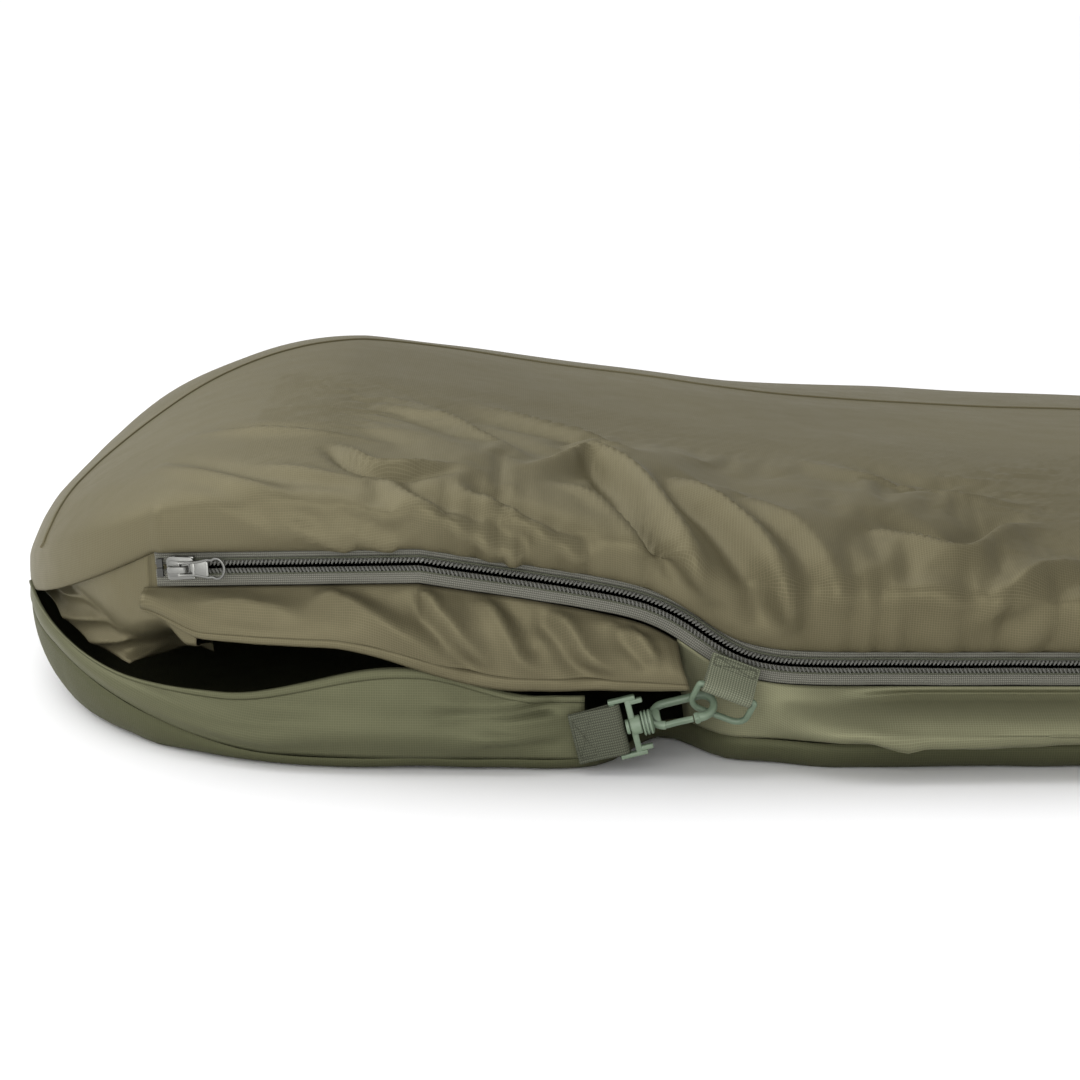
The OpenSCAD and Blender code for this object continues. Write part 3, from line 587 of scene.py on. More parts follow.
SHELL_CREASES = [
    # the hood's shallow creases
    ([(0.100, 0.150), (0.125, 0.128), (0.165, 0.114), (0.215, 0.113)], 0.006, 0.0036, 0.5, (0.5, 0.5)),
    ([(0.085, 0.092), (0.110, 0.070), (0.145, 0.043), (0.186, 0.026)], 0.006, 0.0034, 0.6, (0.5, 0.3)),
    ([(0.150, 0.066), (0.185, 0.052), (0.222, 0.045)], 0.005, 0.0024, -0.5, (0.4, 0.5)),
    ([(0.110, 0.048), (0.145, 0.022), (0.180, 0.008)], 0.005, 0.0022, 0.5, (0.5, 0.3)),
    # long swoops from the top of the hood towards the zip
    ([(0.200, 0.230), (0.235, 0.190), (0.262, 0.140), (0.288, 0.108)], 0.010, 0.0050, 0.6, (0.5, 0.4)),
    ([(0.248, 0.250), (0.282, 0.205), (0.318, 0.178), (0.352, 0.158)], 0.011, 0.0052, -0.6, (0.5, 0.4)),
    ([(0.420, 0.230), (0.455, 0.180), (0.500, 0.150), (0.560, 0.142)], 0.014, 0.0056, 0.6, (0.5, 0.4)),
    # the tight crease where the hood meets the body
    ([(0.190, 0.104), (0.202, 0.078), (0.213, 0.064), (0.232, 0.066), (0.256, 0.077)], 0.0045, 0.0060, -0.8,
     (0.35, 0.35)),
    ([(0.212, 0.058), (0.226, 0.034), (0.252, 0.020), (0.288, 0.006)], 0.006, 0.0060, 0.8, (0.4, 0.1)),
    ([(0.160, 0.024), (0.182, 0.013), (0.205, 0.004)], 0.0045, 0.0036, 0.7, (0.4, 0.1)),
    ([(0.182, 0.022), (0.205, 0.012), (0.226, 0.003)], 0.0045, 0.0034, 0.7, (0.4, 0.1)),
    ([(0.246, 0.060), (0.262, 0.040), (0.290, 0.024), (0.318, 0.010)], 0.006, 0.0048, 0.7, (0.4, 0.1)),
    # the long folds from the ridge down to the zip's bend
    ([(0.278, 0.082), (0.300, 0.104), (0.318, 0.132), (0.334, 0.112), (0.346, 0.082), (0.359, 0.040),
      (0.376, 0.012)],
     0.0085, 0.0105, -0.75, (0.35, 0.12)),
    ([(0.300, 0.148), (0.322, 0.154), (0.345, 0.138)], 0.007, 0.0044, 0.5, (0.4, 0.5)),
    ([(0.290, 0.076), (0.312, 0.070), (0.330, 0.048), (0.345, 0.020)], 0.006, 0.0052, 0.7, (0.4, 0.1)),
    ([(0.352, 0.128), (0.372, 0.102), (0.389, 0.082), (0.404, 0.048), (0.415, 0.012)], 0.0085, 0.0098,
     -0.75, (0.35, 0.12)),
    ([(0.378, 0.130), (0.402, 0.108), (0.424, 0.070), (0.438, 0.020)], 0.008, 0.0050, -0.5, (0.5, 0.12)),
    # the body's wandering crease and its low swags
    ([(0.440, 0.098), (0.463, 0.082), (0.492, 0.057), (0.508, 0.066), (0.518, 0.088), (0.552, 0.122)],
     0.0085, 0.0085, 0.8,
     (0.35, 0.3)),
    ([(0.494, 0.012), (0.512, 0.030), (0.538, 0.054), (0.570, 0.066)], 0.008, 0.0060, -0.6, (0.3, 0.4)),
    ([(0.452, 0.030), (0.478, 0.036), (0.502, 0.026)], 0.007, 0.0040, 0.5, (0.4, 0.4)),
    ([(0.560, 0.020), (0.600, 0.070), (0.660, 0.100)], 0.010, 0.0065, -0.6, (0.2, 0.4)),
    ([(0.680, 0.020), (0.720, 0.080), (0.800, 0.130)], 0.012, 0.0070, 0.6, (0.2, 0.4)),
    ([(0.860, 0.016), (0.930, 0.090), (1.000, 0.110)], 0.012, 0.0065, -0.6, (0.2, 0.4)),
    ([(1.080, 0.016), (1.130, 0.070), (1.230, 0.120)], 0.012, 0.0065, 0.6, (0.2, 0.4)),
    ([(1.320, 0.016), (1.400, 0.090), (1.470, 0.100)], 0.012, 0.0060, -0.6, (0.2, 0.4)),
]
shell_lie, shell_uv = cloth_grid(shell_place, shell_stations, shell_shares, shell_folds)

# %% The shell as a mesh
shell = new_object("shell_cloth", grid_mesh("shell_cloth", shell_lie, shell_uv))
print("top shell triangles", 4 * len(shell.data.polygons))

# %% [markdown]
# The drawn folds say where the big creases go, and a short cloth simulation then settles the sheet round them.
# The cloth is given a little more length than its shape needs, and everything but a zone above the zip is
# pinned. It touches nothing else. How far a point may move is capped, so that the panel still meets its
# neighbours.

# %% Settling the shell
def settle(piece, pin, spare, frames, cap):
    """Simulates a sheet with its pinned points held, keeps the capped result as its mesh, and returns the
    greatest move before the cap."""
    mesh = piece.data
    rest = np.empty(len(mesh.vertices) * 3)
    mesh.vertices.foreach_get("co", rest)
    held = piece.vertex_groups.new(name="pin")
    for weight in np.unique(pin):
        held.add([int(i) for i in np.nonzero(pin == weight)[0]], float(weight), "REPLACE")
    cloth = piece.modifiers.new("cloth", "CLOTH")
    settings = cloth.settings
    settings.quality, settings.mass = 4, 0.12
    settings.tension_stiffness = settings.compression_stiffness = 18
    settings.shear_stiffness, settings.bending_stiffness = 6, 0.5
    settings.vertex_group_mass = "pin"
    settings.shrink_min = -spare
    settings.use_pressure, settings.uniform_pressure_force = True, 0.6
    settings.effector_weights.gravity = 0
    cloth.collision_settings.use_collision = False
    scene = bpy.context.scene
    for frame_number in range(1, frames + 1):
        scene.frame_set(frame_number)
    settled = piece.evaluated_get(bpy.context.evaluated_depsgraph_get()).data
    moved = np.empty(len(settled.vertices) * 3)
    settled.vertices.foreach_get("co", moved)
    piece.modifiers.remove(cloth)
    piece.vertex_groups.clear()
    scene.frame_set(1)
    move = (moved - rest).reshape(-1, 3)
    length = np.linalg.norm(move, axis=1, keepdims=True)
    move *= np.minimum(1, cap / np.maximum(length, 1e-9))
    mesh.vertices.foreach_set("co", (rest.reshape(-1, 3) + move).ravel())
    mesh.update()
    return float(length.max())


def uv_rows(mesh, name="cloth"):
    """Each point's place on the flat cloth, from the UV map of a grid."""
    corner = np.empty(len(mesh.loops), int)
    mesh.loops.foreach_get("vertex_index", corner)
    found = np.empty(len(mesh.loops) * 2, np.float32)
    mesh.uv_layers[name].data.foreach_get("uv", found)
    flat = np.zeros((len(mesh.vertices), 2))
    flat[corner] = found.reshape(-1, 2)
    return flat


from_head = np.array([point.co.x for point in shell.data.vertices]) - head_x
over = uv_rows(shell.data)[:, 1]
held = [1 - ease((over - 0.004) / 0.012), ease((over - 0.16) / 0.14),
        1 - ease((from_head - 0.13) / 0.10),
        ease((from_head - 0.46) / 0.20)]
pin = np.round(np.maximum.reduce(held), 1)
most = settle(shell, pin, 0.016, 14, 0.007)
lie = np.array([tuple(point.co) for point in shell.data.vertices])
shell_lie = lie.reshape(len(shell_shares), len(shell_stations), 3).transpose(1, 0, 2)
print("settled: the free cloth moved up to", round(1000 * most, 1), "mm before the cap")

# %% Top shell
def thicken(piece, thick, offset=-1.0):
    """Gives cloth its thickness, inwards from its outer face."""
    solidify = piece.modifiers.new("thickness", "SOLIDIFY")
    solidify.thickness, solidify.offset = thick, offset
    solidify.use_rim = True


def paint(piece, material):
    piece.data.materials.clear()
    piece.data.materials.append(material)


CLOTH = 0.0006                                # the cloth with its coating, at the scale of its folds
thicken(shell, CLOTH)
paint(shell, khaki_nylon)
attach(shell, "sack")
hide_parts("top_shell")

# %% [markdown]
# ## Groundsheet
# The floor is a heavier coated nylon. It lies flat on the ground, turns up in a soft corner to the seam under
# the mouth on the near side, and runs up the far side as a low wall. It is drawn in between the lip's end
# and the side panel, where the hook pulls the mouth shut.

# %% Groundsheet
LIFT_LENGTH, LIFT_TOP, FLOOR_LIFT_LENGTH = 0.160, 0.046, 0.060
NEAR_RIM, BODY_RIM = 0.007, 0.015
NOTCH_S, NOTCH_DEEP, NOTCH_LENGTH = 0.352, 0.050, 0.020
RING_ROOM, RING_ROOM_END = 0.009, 0.440
CORNER_IN, FLOOR_FAR = 0.014, 0.024


def foot_lift(s):
    return FAR_SEAM * 0.45 * (1 - foot_factor(s)) ** 1.5


def rim_z(s):
    lift = LIFT_TOP * np.clip(1 - s / LIFT_LENGTH, 0, 1) ** 1.5
    return lift + mix(NEAR_RIM, BODY_RIM, ease((s - 0.335) / 0.03)) * np.minimum(1,
        s / 0.04) + foot_lift(s) * 0.5


def behind_ring(s):
    return np.where(s < NOTCH_S, 0, 1 - ease((s - 0.392) / (RING_ROOM_END - 0.392)))


def rim_y(s):
    drawn = RING_ROOM * behind_ring(s) * ease((s - NOTCH_S) / 0.02)
    return -(half_width(s) - 0.001 - drawn - NOTCH_DEEP * np.exp(-((s - NOTCH_S) / NOTCH_LENGTH) ** 2))


def ground_place(s, v):
    w, near = half_width(s), rim_z(s)
    low = (LIFT_TOP - 0.002) * np.clip(1 - s / FLOOR_LIFT_LENGTH, 0, 1) ** 2 + foot_lift(s)
    corner = np.minimum(CORNER_IN + 1.4 * np.maximum(0, near - low - BODY_RIM), 0.5 * w)
    far_middle = np.maximum(FLOOR_FAR, low + 0.002)
    far_corner = np.minimum(0.022 + far_middle - FLOOR_FAR, 0.4 * w)
    far_top = np.maximum(FAR_SEAM * np.minimum(1, 0.5 + 0.5 * foot_factor(s)) - 0.0004, far_middle + 0.001)
    turn = np.linspace(0, pi / 2, 12)[None, :]
    edge = rim_y(s)
    y = [w - SEAM_IN + 0 * s, w - far_corner * (1 - np.cos(turn)),
         edge + corner * (1 - np.cos(turn[:, ::-1]))]
    z = [far_top, mix(far_middle, low, np.sin(turn)), mix(near, low, np.sin(turn[:, ::-1]))]
    return even_rows(s, np.concatenate(y, axis=1), np.concatenate(z, axis=1), np.ravel(v))


def ground_folds(s, across):
    """Slack ripples in the low edge on the near side, which lies free of the floor."""
    return 0.0012 * wander(s, across, 0.05, 21) * ease((across - 0.58) / 0.05)


ground_stations = np.concatenate([
    head_stations, np.arange(0.104, 0.60, 0.008), np.linspace(0.62, sack_length - 0.16, 70),
    sack_length - 0.15 * (np.arange(12, 0, -1) / 12) ** 2.2])
ground_shares = np.concatenate([np.linspace(0, 0.12, 10), np.linspace(0.12, 0.90, 20)[1:],
                                np.linspace(0.90, 1, 14)[1:]])
ground_lie, ground_uv = cloth_grid(ground_place, ground_stations, ground_shares, ground_folds)
ground = new_object("groundsheet_cloth", grid_mesh("groundsheet_cloth", ground_lie, ground_uv))
thicken(ground, CLOTH)
paint(ground, floor_nylon)
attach(ground, "sack")
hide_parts("groundsheet")

# %% [markdown]
# ## Side panel
# Beyond the mouth, a narrow panel joins the lower zip tape to the groundsheet. The filling pushes it out in a
# soft roll with a deep crease under the zip, so its section is a swelling curve and not a flat strip.

# %% Side panel


def panel_top(s):
    tape = beside_zip(s, 0, -TAPE_TOP - 0.0004)
    edge_y, edge_z = shell_edge(s)
    past_zip = points(s + head_x, edge_y, np.minimum(edge_z, ridge(s) - 0.004) - 0.0004)
    return mix(tape, past_zip, ease((s - ZIP_END + 0.006) / 0.012)[..., None])


def panel_place(s, v):
    low = points(s + head_x, rim_y(s), rim_z(s) + 0.0004)
    away = 1 - behind_ring(s)
    roll = np.sin(pi * np.clip(v, 0, 1)) * 0.006 + 0.016 * np.sin(pi * np.clip(v / 0.74, 0,
        1) ** 0.75) ** 1.4
    crease = -0.012 * np.exp(-((v - 0.80) / 0.09) ** 2) * ease((s - 0.43) / 0.05)
    out = (roll + crease) * away
    return mix(low, panel_top(s), np.asarray(v)[..., None]) - out[..., None] * np.array([0, 1.0, 0])


def panel_folds(s, across):
    fold = 0.0026 * wander(s, across * 1.5, 0.09, 31) + 0.0008 * wander(s, across, 0.03, 32)
    away = ease((s - 0.42) / 0.05)
    for path, width, height, lean, ends in PANEL_CREASES:
        fold += stroke(s, across, path, width, height, lean, ends) * away
    return fold * np.sin(pi * np.clip(across / 0.033, 0, 1)) ** 0.5 * (0.25 + 0.75 * away)


PANEL_CREASES = [
    ([(0.425, 0.010), (0.470, 0.015), (0.530, 0.011), (0.600, 0.013)], 0.006, 0.0032, 0.9, (0.3, 0.4)),
    ([(0.436, 0.030), (0.450, 0.020), (0.480, 0.012)], 0.005, 0.0030, -0.8, (0.3, 0.3)),
    ([(0.600, 0.020), (0.680, 0.014), (0.760, 0.018)], 0.006, 0.0028, 0.8, (0.3, 0.3)),
    ([(0.840, 0.016), (0.940, 0.020), (1.040, 0.014)], 0.006, 0.0028, -0.8, (0.3, 0.3)),
]
panel_stations = np.concatenate([np.arange(0.364, 0.62, 0.004), np.linspace(0.625, ZIP_END - 0.02, 108),
                                 ZIP_END + np.linspace(-0.012, 0.006, 7),
                                 np.linspace(ZIP_END + 0.01, sack_length - 0.13, 34),
                                 sack_length - 0.115 * (np.arange(14, 0, -1) / 14) ** 2])
panel_shares = np.linspace(0, 1, 19)
panel_lie, panel_uv = cloth_grid(panel_place, panel_stations, panel_shares, panel_folds)
panel = new_object("side_panel_cloth", grid_mesh("side_panel_cloth", panel_lie, panel_uv))
thicken(panel, CLOTH)
# The side panel takes the nylon copy painted lighter, a painted light from the front.
paint(panel, front_lit_panel_nylon)
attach(panel, "sack")
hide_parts("side_panel")

# %% [markdown]
# ## Mouth flap
# The flap hangs from the lower zip tape over the mouth, and it ends in a hem that is turned over twice and
# sewn. Its cloth is a little longer than the tape, so it swags between the puckers of its seam.

# %% Mouth flap
FLAP_START, FLAP_END = 0.097, 0.3645
FLAP_HIGH, FLAP_FALL = 0.0625, 0.0205
FLAP_BULGE = 0.007
TAPE_BACK = 0.0011


def flap_edge_z(s):
    corner = 0.011 * (1 - ease((s - FLAP_START) / 0.032))
    return FLAP_HIGH + corner - FLAP_FALL * ease((s - 0.188) / 0.095)


def flap_top(s):
    gap = mix(0.0004, 0.0012, ease((s - 0.28) / 0.06))
    return beside_zip(s, -TAPE_BACK + 0.0003, -TAPE_TOP - gap)


def flap_place(s, v):
    edge = points(s + head_x, -(half_width(s) + 0.003), flap_edge_z(s))
    out = FLAP_BULGE * np.sin(pi * v) + 0 * s
    return mix(edge, flap_top(s), np.asarray(v)[..., None]) - out[..., None] * np.array([0, 1.0, 0])


FLAP_CREASES = [
    ([(0.122, 0.018), (0.150, 0.022), (0.186, 0.016)], 0.005, 0.0030, -0.6, (0.3, 0.5)),
    ([(0.182, 0.040), (0.196, 0.026), (0.224, 0.016), (0.252, 0.014)], 0.006, 0.0044, 0.7, (0.2, 0.4)),
    ([(0.230, 0.048), (0.248, 0.030), (0.262, 0.018), (0.275, 0.008)], 0.0055, 0.0050, -0.8, (0.2, 0.3)),
    ([(0.262, 0.052), (0.277, 0.032), (0.284, 0.014), (0.300, 0.010)], 0.005, 0.0046, 0.8, (0.15, 0.3)),
    ([(0.296, 0.046), (0.310, 0.030), (0.316, 0.016), (0.334, 0.010)], 0.005, 0.0050, -0.8, (0.15, 0.3)),
    ([(0.322, 0.044), (0.334, 0.030), (0.350, 0.022)], 0.0045, 0.0046, 0.8, (0.15, 0.3)),
    ([(0.336, 0.040), (0.343, 0.026), (0.352, 0.014)], 0.004, 0.0036, -0.8, (0.15, 0.2)),
]


def flap_folds(s, across):
    total = np.maximum(across.max(axis=1, keepdims=True), 1e-3)
    from_top = total - across
    fold = 0.0022 * wander(s, across * 1.6, 0.055, 41) + 0.0010 * wander(s, across, 0.022, 42)
    fold += gathers(s, from_top, 0.017, 0.018, 0.0030, 43)
    for path, width, height, lean, ends in FLAP_CREASES:
        fold += stroke(s, across, path, width, height, lean, ends)
    return fold * ease(from_top / 0.008) * (0.45 + 0.55 * ease(across / 0.012))


flap_stations = np.linspace(FLAP_START, FLAP_END, 110)
flap_shares = np.linspace(0, 1, 25)
flap_lie, flap_uv = cloth_grid(flap_place, flap_stations, flap_shares, flap_folds)

# %% Flap and its hem
def band(name, lie, stations, shares, over, lift, columns):
    """A narrow strip of cloth laid along a panel, over these shares of its width, such as a hem."""
    s = np.linspace(stations[0], stations[-1], columns)[:, None]
    strip = on_cloth(lie, stations, shares, s + 0 * over[None, :], 0 * s + over[None, :], lift + 0 * s)
    return grid_mesh(name, strip, np.stack(grid_lengths(strip), -1))


flap = new_object("mouth_flap_cloth", grid_mesh("mouth_flap_cloth", flap_lie, flap_uv))
thicken(flap, CLOTH)
paint(flap, khaki_nylon)
hem_shares = np.linspace(0.0, 0.16, 5)
flap_hem = new_object("flap_hem_cloth", band("flap_hem_cloth", flap_lie, flap_stations, flap_shares,
                                             hem_shares,
                                             np.array([0.0, 0.0008, 0.0009, 0.0008, 0.0001]), 120))
thicken(flap_hem, 0.0007)
paint(flap_hem, khaki_nylon)
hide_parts("mouth_flap")
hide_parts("flap_hem")

# %% [markdown]
# ## Hood lip
# Below the mouth, the lip stands up from the groundsheet and carries the hook's webbing. Its free edge is
# bound, and a seam joins its upper and lower parts at about half its height.

# %% Hood lip
LIP_END, LIP_LOW = 0.314, 0.036


def lip_edge_z(s):
    head = mix(LIP_LOW, TIP_Z + 0.001, np.clip((0.090 - s) / (0.090 - TIP), 0, 1.2) ** 1.6)
    return np.where(s < 0.090, head,
                    LIP_LOW + 0.017 * ease((s - 0.135) / 0.09) - 0.014 * ease((s - 0.232) / 0.06))


def lip_place(s, v):
    low = points(s + head_x, rim_y(s), rim_z(s) + 0.0004)
    high = points(s + head_x, -(half_width(s) - 0.001), lip_edge_z(s))
    belly = 0.0045 * np.sin(pi * v) * ease(s / 0.03) + 0.003 * np.sin(pi * np.clip(v / 0.5, 0,
        1)) ** 2 * ease((s - 0.08) / 0.06)
    flat = 1 - ease((s - 0.275) / 0.03)       # the webbing lies on the lip's flat end
    return mix(low, high, np.asarray(v)[..., None]) - (belly * flat)[..., None] * np.array([0, 1.0, 0])


LIP_CREASES = [
    ([(0.060, 0.012), (0.110, 0.014), (0.170, 0.020), (0.230, 0.018)], 0.005, 0.0022, 0.8, (0.3, 0.4)),
    ([(0.235, 0.030), (0.262, 0.028), (0.300, 0.032)], 0.0035, 0.0030, -0.8, (0.3, 0.1)),
    ([(0.240, 0.020), (0.270, 0.023), (0.303, 0.020)], 0.0035, 0.0026, 0.8, (0.3, 0.1)),
    ([(0.255, 0.012), (0.280, 0.014), (0.303, 0.012)], 0.0035, 0.0020, -0.8, (0.3, 0.1)),
]


def lip_folds(s, across):
    fold = 0.0016 * wander(s, across * 1.5, 0.08, 51) + 0.0008 * wander(s, across, 0.03, 52)
    for path, width, height, lean, ends in LIP_CREASES:
        fold += stroke(s, across, path, width, height, lean, ends)
    return fold * ease(across / 0.008)


lip_stations = np.concatenate([0.002 + 0.104 * (np.arange(13, 33) / 32) ** 2.2,
                               np.arange(0.111, LIP_END, 0.004), [LIP_END]])
lip_shares = np.linspace(0, 1, 21)
lip_lie, lip_uv = cloth_grid(lip_place, lip_stations, lip_shares, lip_folds)
lip = new_object("hood_lip_cloth", grid_mesh("hood_lip_cloth", lip_lie, lip_uv))
thicken(lip, CLOTH)
# The lip takes the nylon copy that is painted darker and greener as shade.
paint(lip, shaded_green_nylon)
lip_hem = new_object("lip_binding", band("lip_binding", lip_lie, lip_stations, lip_shares,
                                         np.linspace(0.88, 1.0, 5),
                                         np.array([0.0001, 0.0008, 0.0009, 0.0008, 0.0002]), 110))
thicken(lip_hem, 0.0007)
# The binding takes the same copy, painted darker and greener as shade.
paint(lip_hem, shaded_green_nylon)
for piece, node in ((lip, "hood_lip"), (lip_hem, "lip_hem")):
    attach(piece, "sack")
    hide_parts(node)

# %% [markdown]
# ## Gusset
# The mouth's corner at the head is closed by a gathered gusset. Its pleats fan out from the corner, so the
# cloth makes a few soft, unequal tucks that are deepest in the middle.

# %% Gusset
def gusset_place(s, v):
    edge_z = shell_edge(s)[1]
    low = lip_edge_z(s) + 0.001
    high = mix(edge_z + 0.001, 0.080, ease((s - 0.106) / 0.014))   # it ends below the zip
    z = mix(low, high, v)
    above = (s - 0.047) * 0.467 + (z - 0.073) * 0.884          # distance above the diagonal crease
    roll = 0.014 * np.exp(-np.maximum(above, 0) / 0.007) + 0.003
    pleats = 0.016 + 0.007 * np.abs(np.sin((z - 0.30 * s) * 260)) ** 0.8
    depth = np.where(above > 0, roll, mix(0.017, pleats, ease(-above / 0.006)))
    cave = 0.060 * ease((s - 0.078) / 0.04) * ease((0.50 - v) / 0.4)
    corner = 0.012 * np.exp(-((s - 0.030) / 0.010) ** 2) * np.sin(pi * v)
    behind = (half_width(s) + zip_across(s) + 0.0045) * ease((s - 0.094) / 0.008) * ease((z - 0.070) / 0.006)
    return points(s + head_x, -(half_width(s) - np.maximum(depth + cave + corner, behind)), z)


gusset_stations, gusset_shares = np.linspace(0.022, 0.124, 90), np.linspace(0, 1, 40)
gusset_lie, gusset_uv = cloth_grid(gusset_place, gusset_stations, gusset_shares,
                                   lambda s, across: 0.001 * wander(s, across, 0.02, 61))
gusset = new_object("hood_gusset_cloth", grid_mesh("hood_gusset_cloth", gusset_lie, gusset_uv))
thicken(gusset, CLOTH)
paint(gusset, khaki_nylon)
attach(gusset, "sack")
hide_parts("hood_gusset")

# %% Joining the flap
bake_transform(flap)
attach(flap_hem, "flap")

# %% [markdown]
# ## Sweeping a section along a path
# Moulded rods, the hook's frame, the D-ring and webbing are all one thing to a modeller: a section carried
# along a path. The tool below bends a grid into that tube, closes it, and keeps a UV in metres along and
# round it, which the weave of the webbing needs.

# %% Sweep
def rounded(width, height, radius, steps=4):
    """A closed section: a rectangle with rounded corners, as rows of (sideways, upwards)."""
    corners = []
    for k, (cx, cy) in enumerate(((1, 1), (-1, 1), (-1, -1), (1, -1))):
        turn = np.linspace(k, k + 1, steps + 1) * pi / 2
        corners.append(np.stack([cx * (width / 2 - radius) + radius * np.cos(turn),
                                 cy * (height / 2 - radius) + radius * np.sin(turn)], -1))
    ring = np.concatenate(corners)
    return np.concatenate([ring, ring[:1]])


def arc(cx, cy, radius, start, end, steps):
    """Points on an arc, between two angles in degrees."""
    turn = np.radians(np.linspace(start, end, steps + 1))
    return np.stack([cx + radius * np.cos(turn), cy + radius * np.sin(turn)], -1)


def sweep(name, path, section, upright, closed=False, scale=None):
    """A closed tube of a section along a path of points. The section's second axis follows upright."""
    path = np.asarray(path, float)
    before, after = np.roll(path, 1, axis=0), np.roll(path, -1, axis=0)
    if not closed:
        before[0], after[-1] = path[0], path[-1]
    along = after - before
    along /= np.linalg.norm(along, axis=1, keepdims=True)
    side = np.cross(along, np.broadcast_to(upright, along.shape))
    side /= np.linalg.norm(side, axis=1, keepdims=True)
    up = np.cross(side, along)
    grow = np.ones(len(path)) if scale is None else np.asarray(scale, float)
    lie = (path[:, None] + grow[:, None, None] * section[None, :, :1] * side[:, None]
           + grow[:, None, None] * section[None, :, 1:] * up[:, None])
    if closed:
        lie = np.concatenate([lie, lie[:1]])
    mesh = grid_mesh(name, lie, np.stack(grid_lengths(lie), -1))
    bm = bmesh.new()
    bm.from_mesh(mesh)
    bmesh.ops.remove_doubles(bm, verts=bm.verts, dist=1e-6)
    if not closed:
        bmesh.ops.holes_fill(bm, edges=[e for e in bm.edges if e.is_boundary])
    bmesh.ops.recalc_face_normals(bm, faces=bm.faces)
    bm.to_mesh(mesh)
    bm.free()
    return mesh


def join_meshes(name, meshes):
    """One mesh of several, each kept as its own closed shell."""
    bm = bmesh.new()
    for mesh in meshes:
        bm.from_mesh(mesh)
        bpy.data.meshes.remove(mesh)
    return mesh_from(bm, name)


def block(name, low, high, round_off=0.0003, segments=2):
    """A box between two corners with rounded edges, in millimetres except for the rounding."""
    low, high = np.array(low) / 1000, np.array(high) / 1000
    bm = bmesh.new()
    middle, size = Matrix.Translation(Vector((low + high) / 2)), Matrix.Diagonal((*(high - low), 1))
    bmesh.ops.create_cube(bm, size=1, matrix=middle @ size)
    if round_off:
        bmesh.ops.bevel(bm, geom=bm.edges[:], offset=round_off, segments=segments, profile=0.5,
                        affect="EDGES", material=-1)
    return mesh_from(bm, name)


def turned(name, profile, steps=40):
    """A shape turned about the X axis from a profile of (along, radius) points in millimetres."""
    bm = bmesh.new()
    vertices = [bm.verts.new((x / 1000, 0, r / 1000)) for x, r in profile]
    edges = [bm.edges.new(pair) for pair in zip(vertices[:-1], vertices[1:])]
    bmesh.ops.spin(bm, geom=vertices + edges, cent=(0, 0, 0), axis=(1, 0, 0), angle=2 * pi, steps=steps,
                   use_merge=True)
    bmesh.ops.remove_doubles(bm, verts=bm.verts, dist=1e-6)
    bmesh.ops.recalc_face_normals(bm, faces=bm.faces)
    return mesh_from(bm, name)


def finish_part(name, mesh, place, material, body, nodes=(), smooth=35):
    """Puts a local mesh in its place in the sack's frame, shades it, paints it and lets it ride on a body."""
    mesh.transform(place)
    mesh.polygons.foreach_set("use_smooth", [True] * len(mesh.polygons))
    mesh.set_sharp_from_angle(angle=radians(smooth))
    made = new_object(name, mesh)
    paint(made, material)
    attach(made, body)
    if nodes:
        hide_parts(*nodes)
    return made


print("sweep ready")

# %% [markdown]
# ## Metal, nylon coil, webbing and moulding
# The slider is die-cast zinc with a brushed gunmetal plating, dark in its recesses and bright on its rubbed
# edges. The clip and ring are moulded in one tough plastic with a fine spark-eroded grain. Webbing shows
# rows of small slanted stitches from its twill weave.

# %% Hardware materials
weave, into, out_of = group("twill weave", {"UV": None, "Rib": 0.0011, "Pick": 0.0007, "Slant": 0.5},
                            ["Height", "Rib mask"])
axes = weave.nodes.new("ShaderNodeSeparateXYZ")
link(weave, into.outputs["UV"], axes.inputs[0])
rib_wave = math_node(weave, "PINGPONG", axes.outputs["Y"],
                     math_node(weave, "MULTIPLY", into.outputs["Rib"], 0.5))
rib = math_node(weave, "DIVIDE", rib_wave, math_node(weave, "MULTIPLY", into.outputs["Rib"], 0.5))
slanted = math_node(weave, "MULTIPLY_ADD", rib_wave, into.outputs["Slant"], axes.outputs["X"])
pick_wave = math_node(weave, "PINGPONG", slanted, math_node(weave, "MULTIPLY", into.outputs["Pick"], 0.5))
pick = math_node(weave, "DIVIDE", pick_wave, math_node(weave, "MULTIPLY", into.outputs["Pick"], 0.5))
link(weave, math_node(weave, "MULTIPLY", math_node(weave, "SQRT", rib), math_node(weave, "SQRT", pick)),
     out_of.inputs["Height"])
link(weave, rib, out_of.inputs["Rib mask"])


def woven(name, dark, light, rib_size, pick_size, slant, roughness=0.75):
    """Webbing, tape or thread: light yarn tops over dark gaps."""
    made, tree, shader, coordinates = new_material(name, roughness)
    cloth = place_group(tree, weave, {"UV": coordinates.outputs["UV"], "Rib": rib_size, "Pick": pick_size,
                                      "Slant": slant})
    link(tree, ramp(tree, cloth.outputs["Height"], [(0.15, dark), (0.75, light)]),
         shader.inputs["Base Color"])
    link(tree, bump(tree, cloth.outputs["Height"], 0.6, 0.00025), shader.inputs["Normal"])
    shader.inputs["Specular IOR Level"].default_value = 0.3
    return made


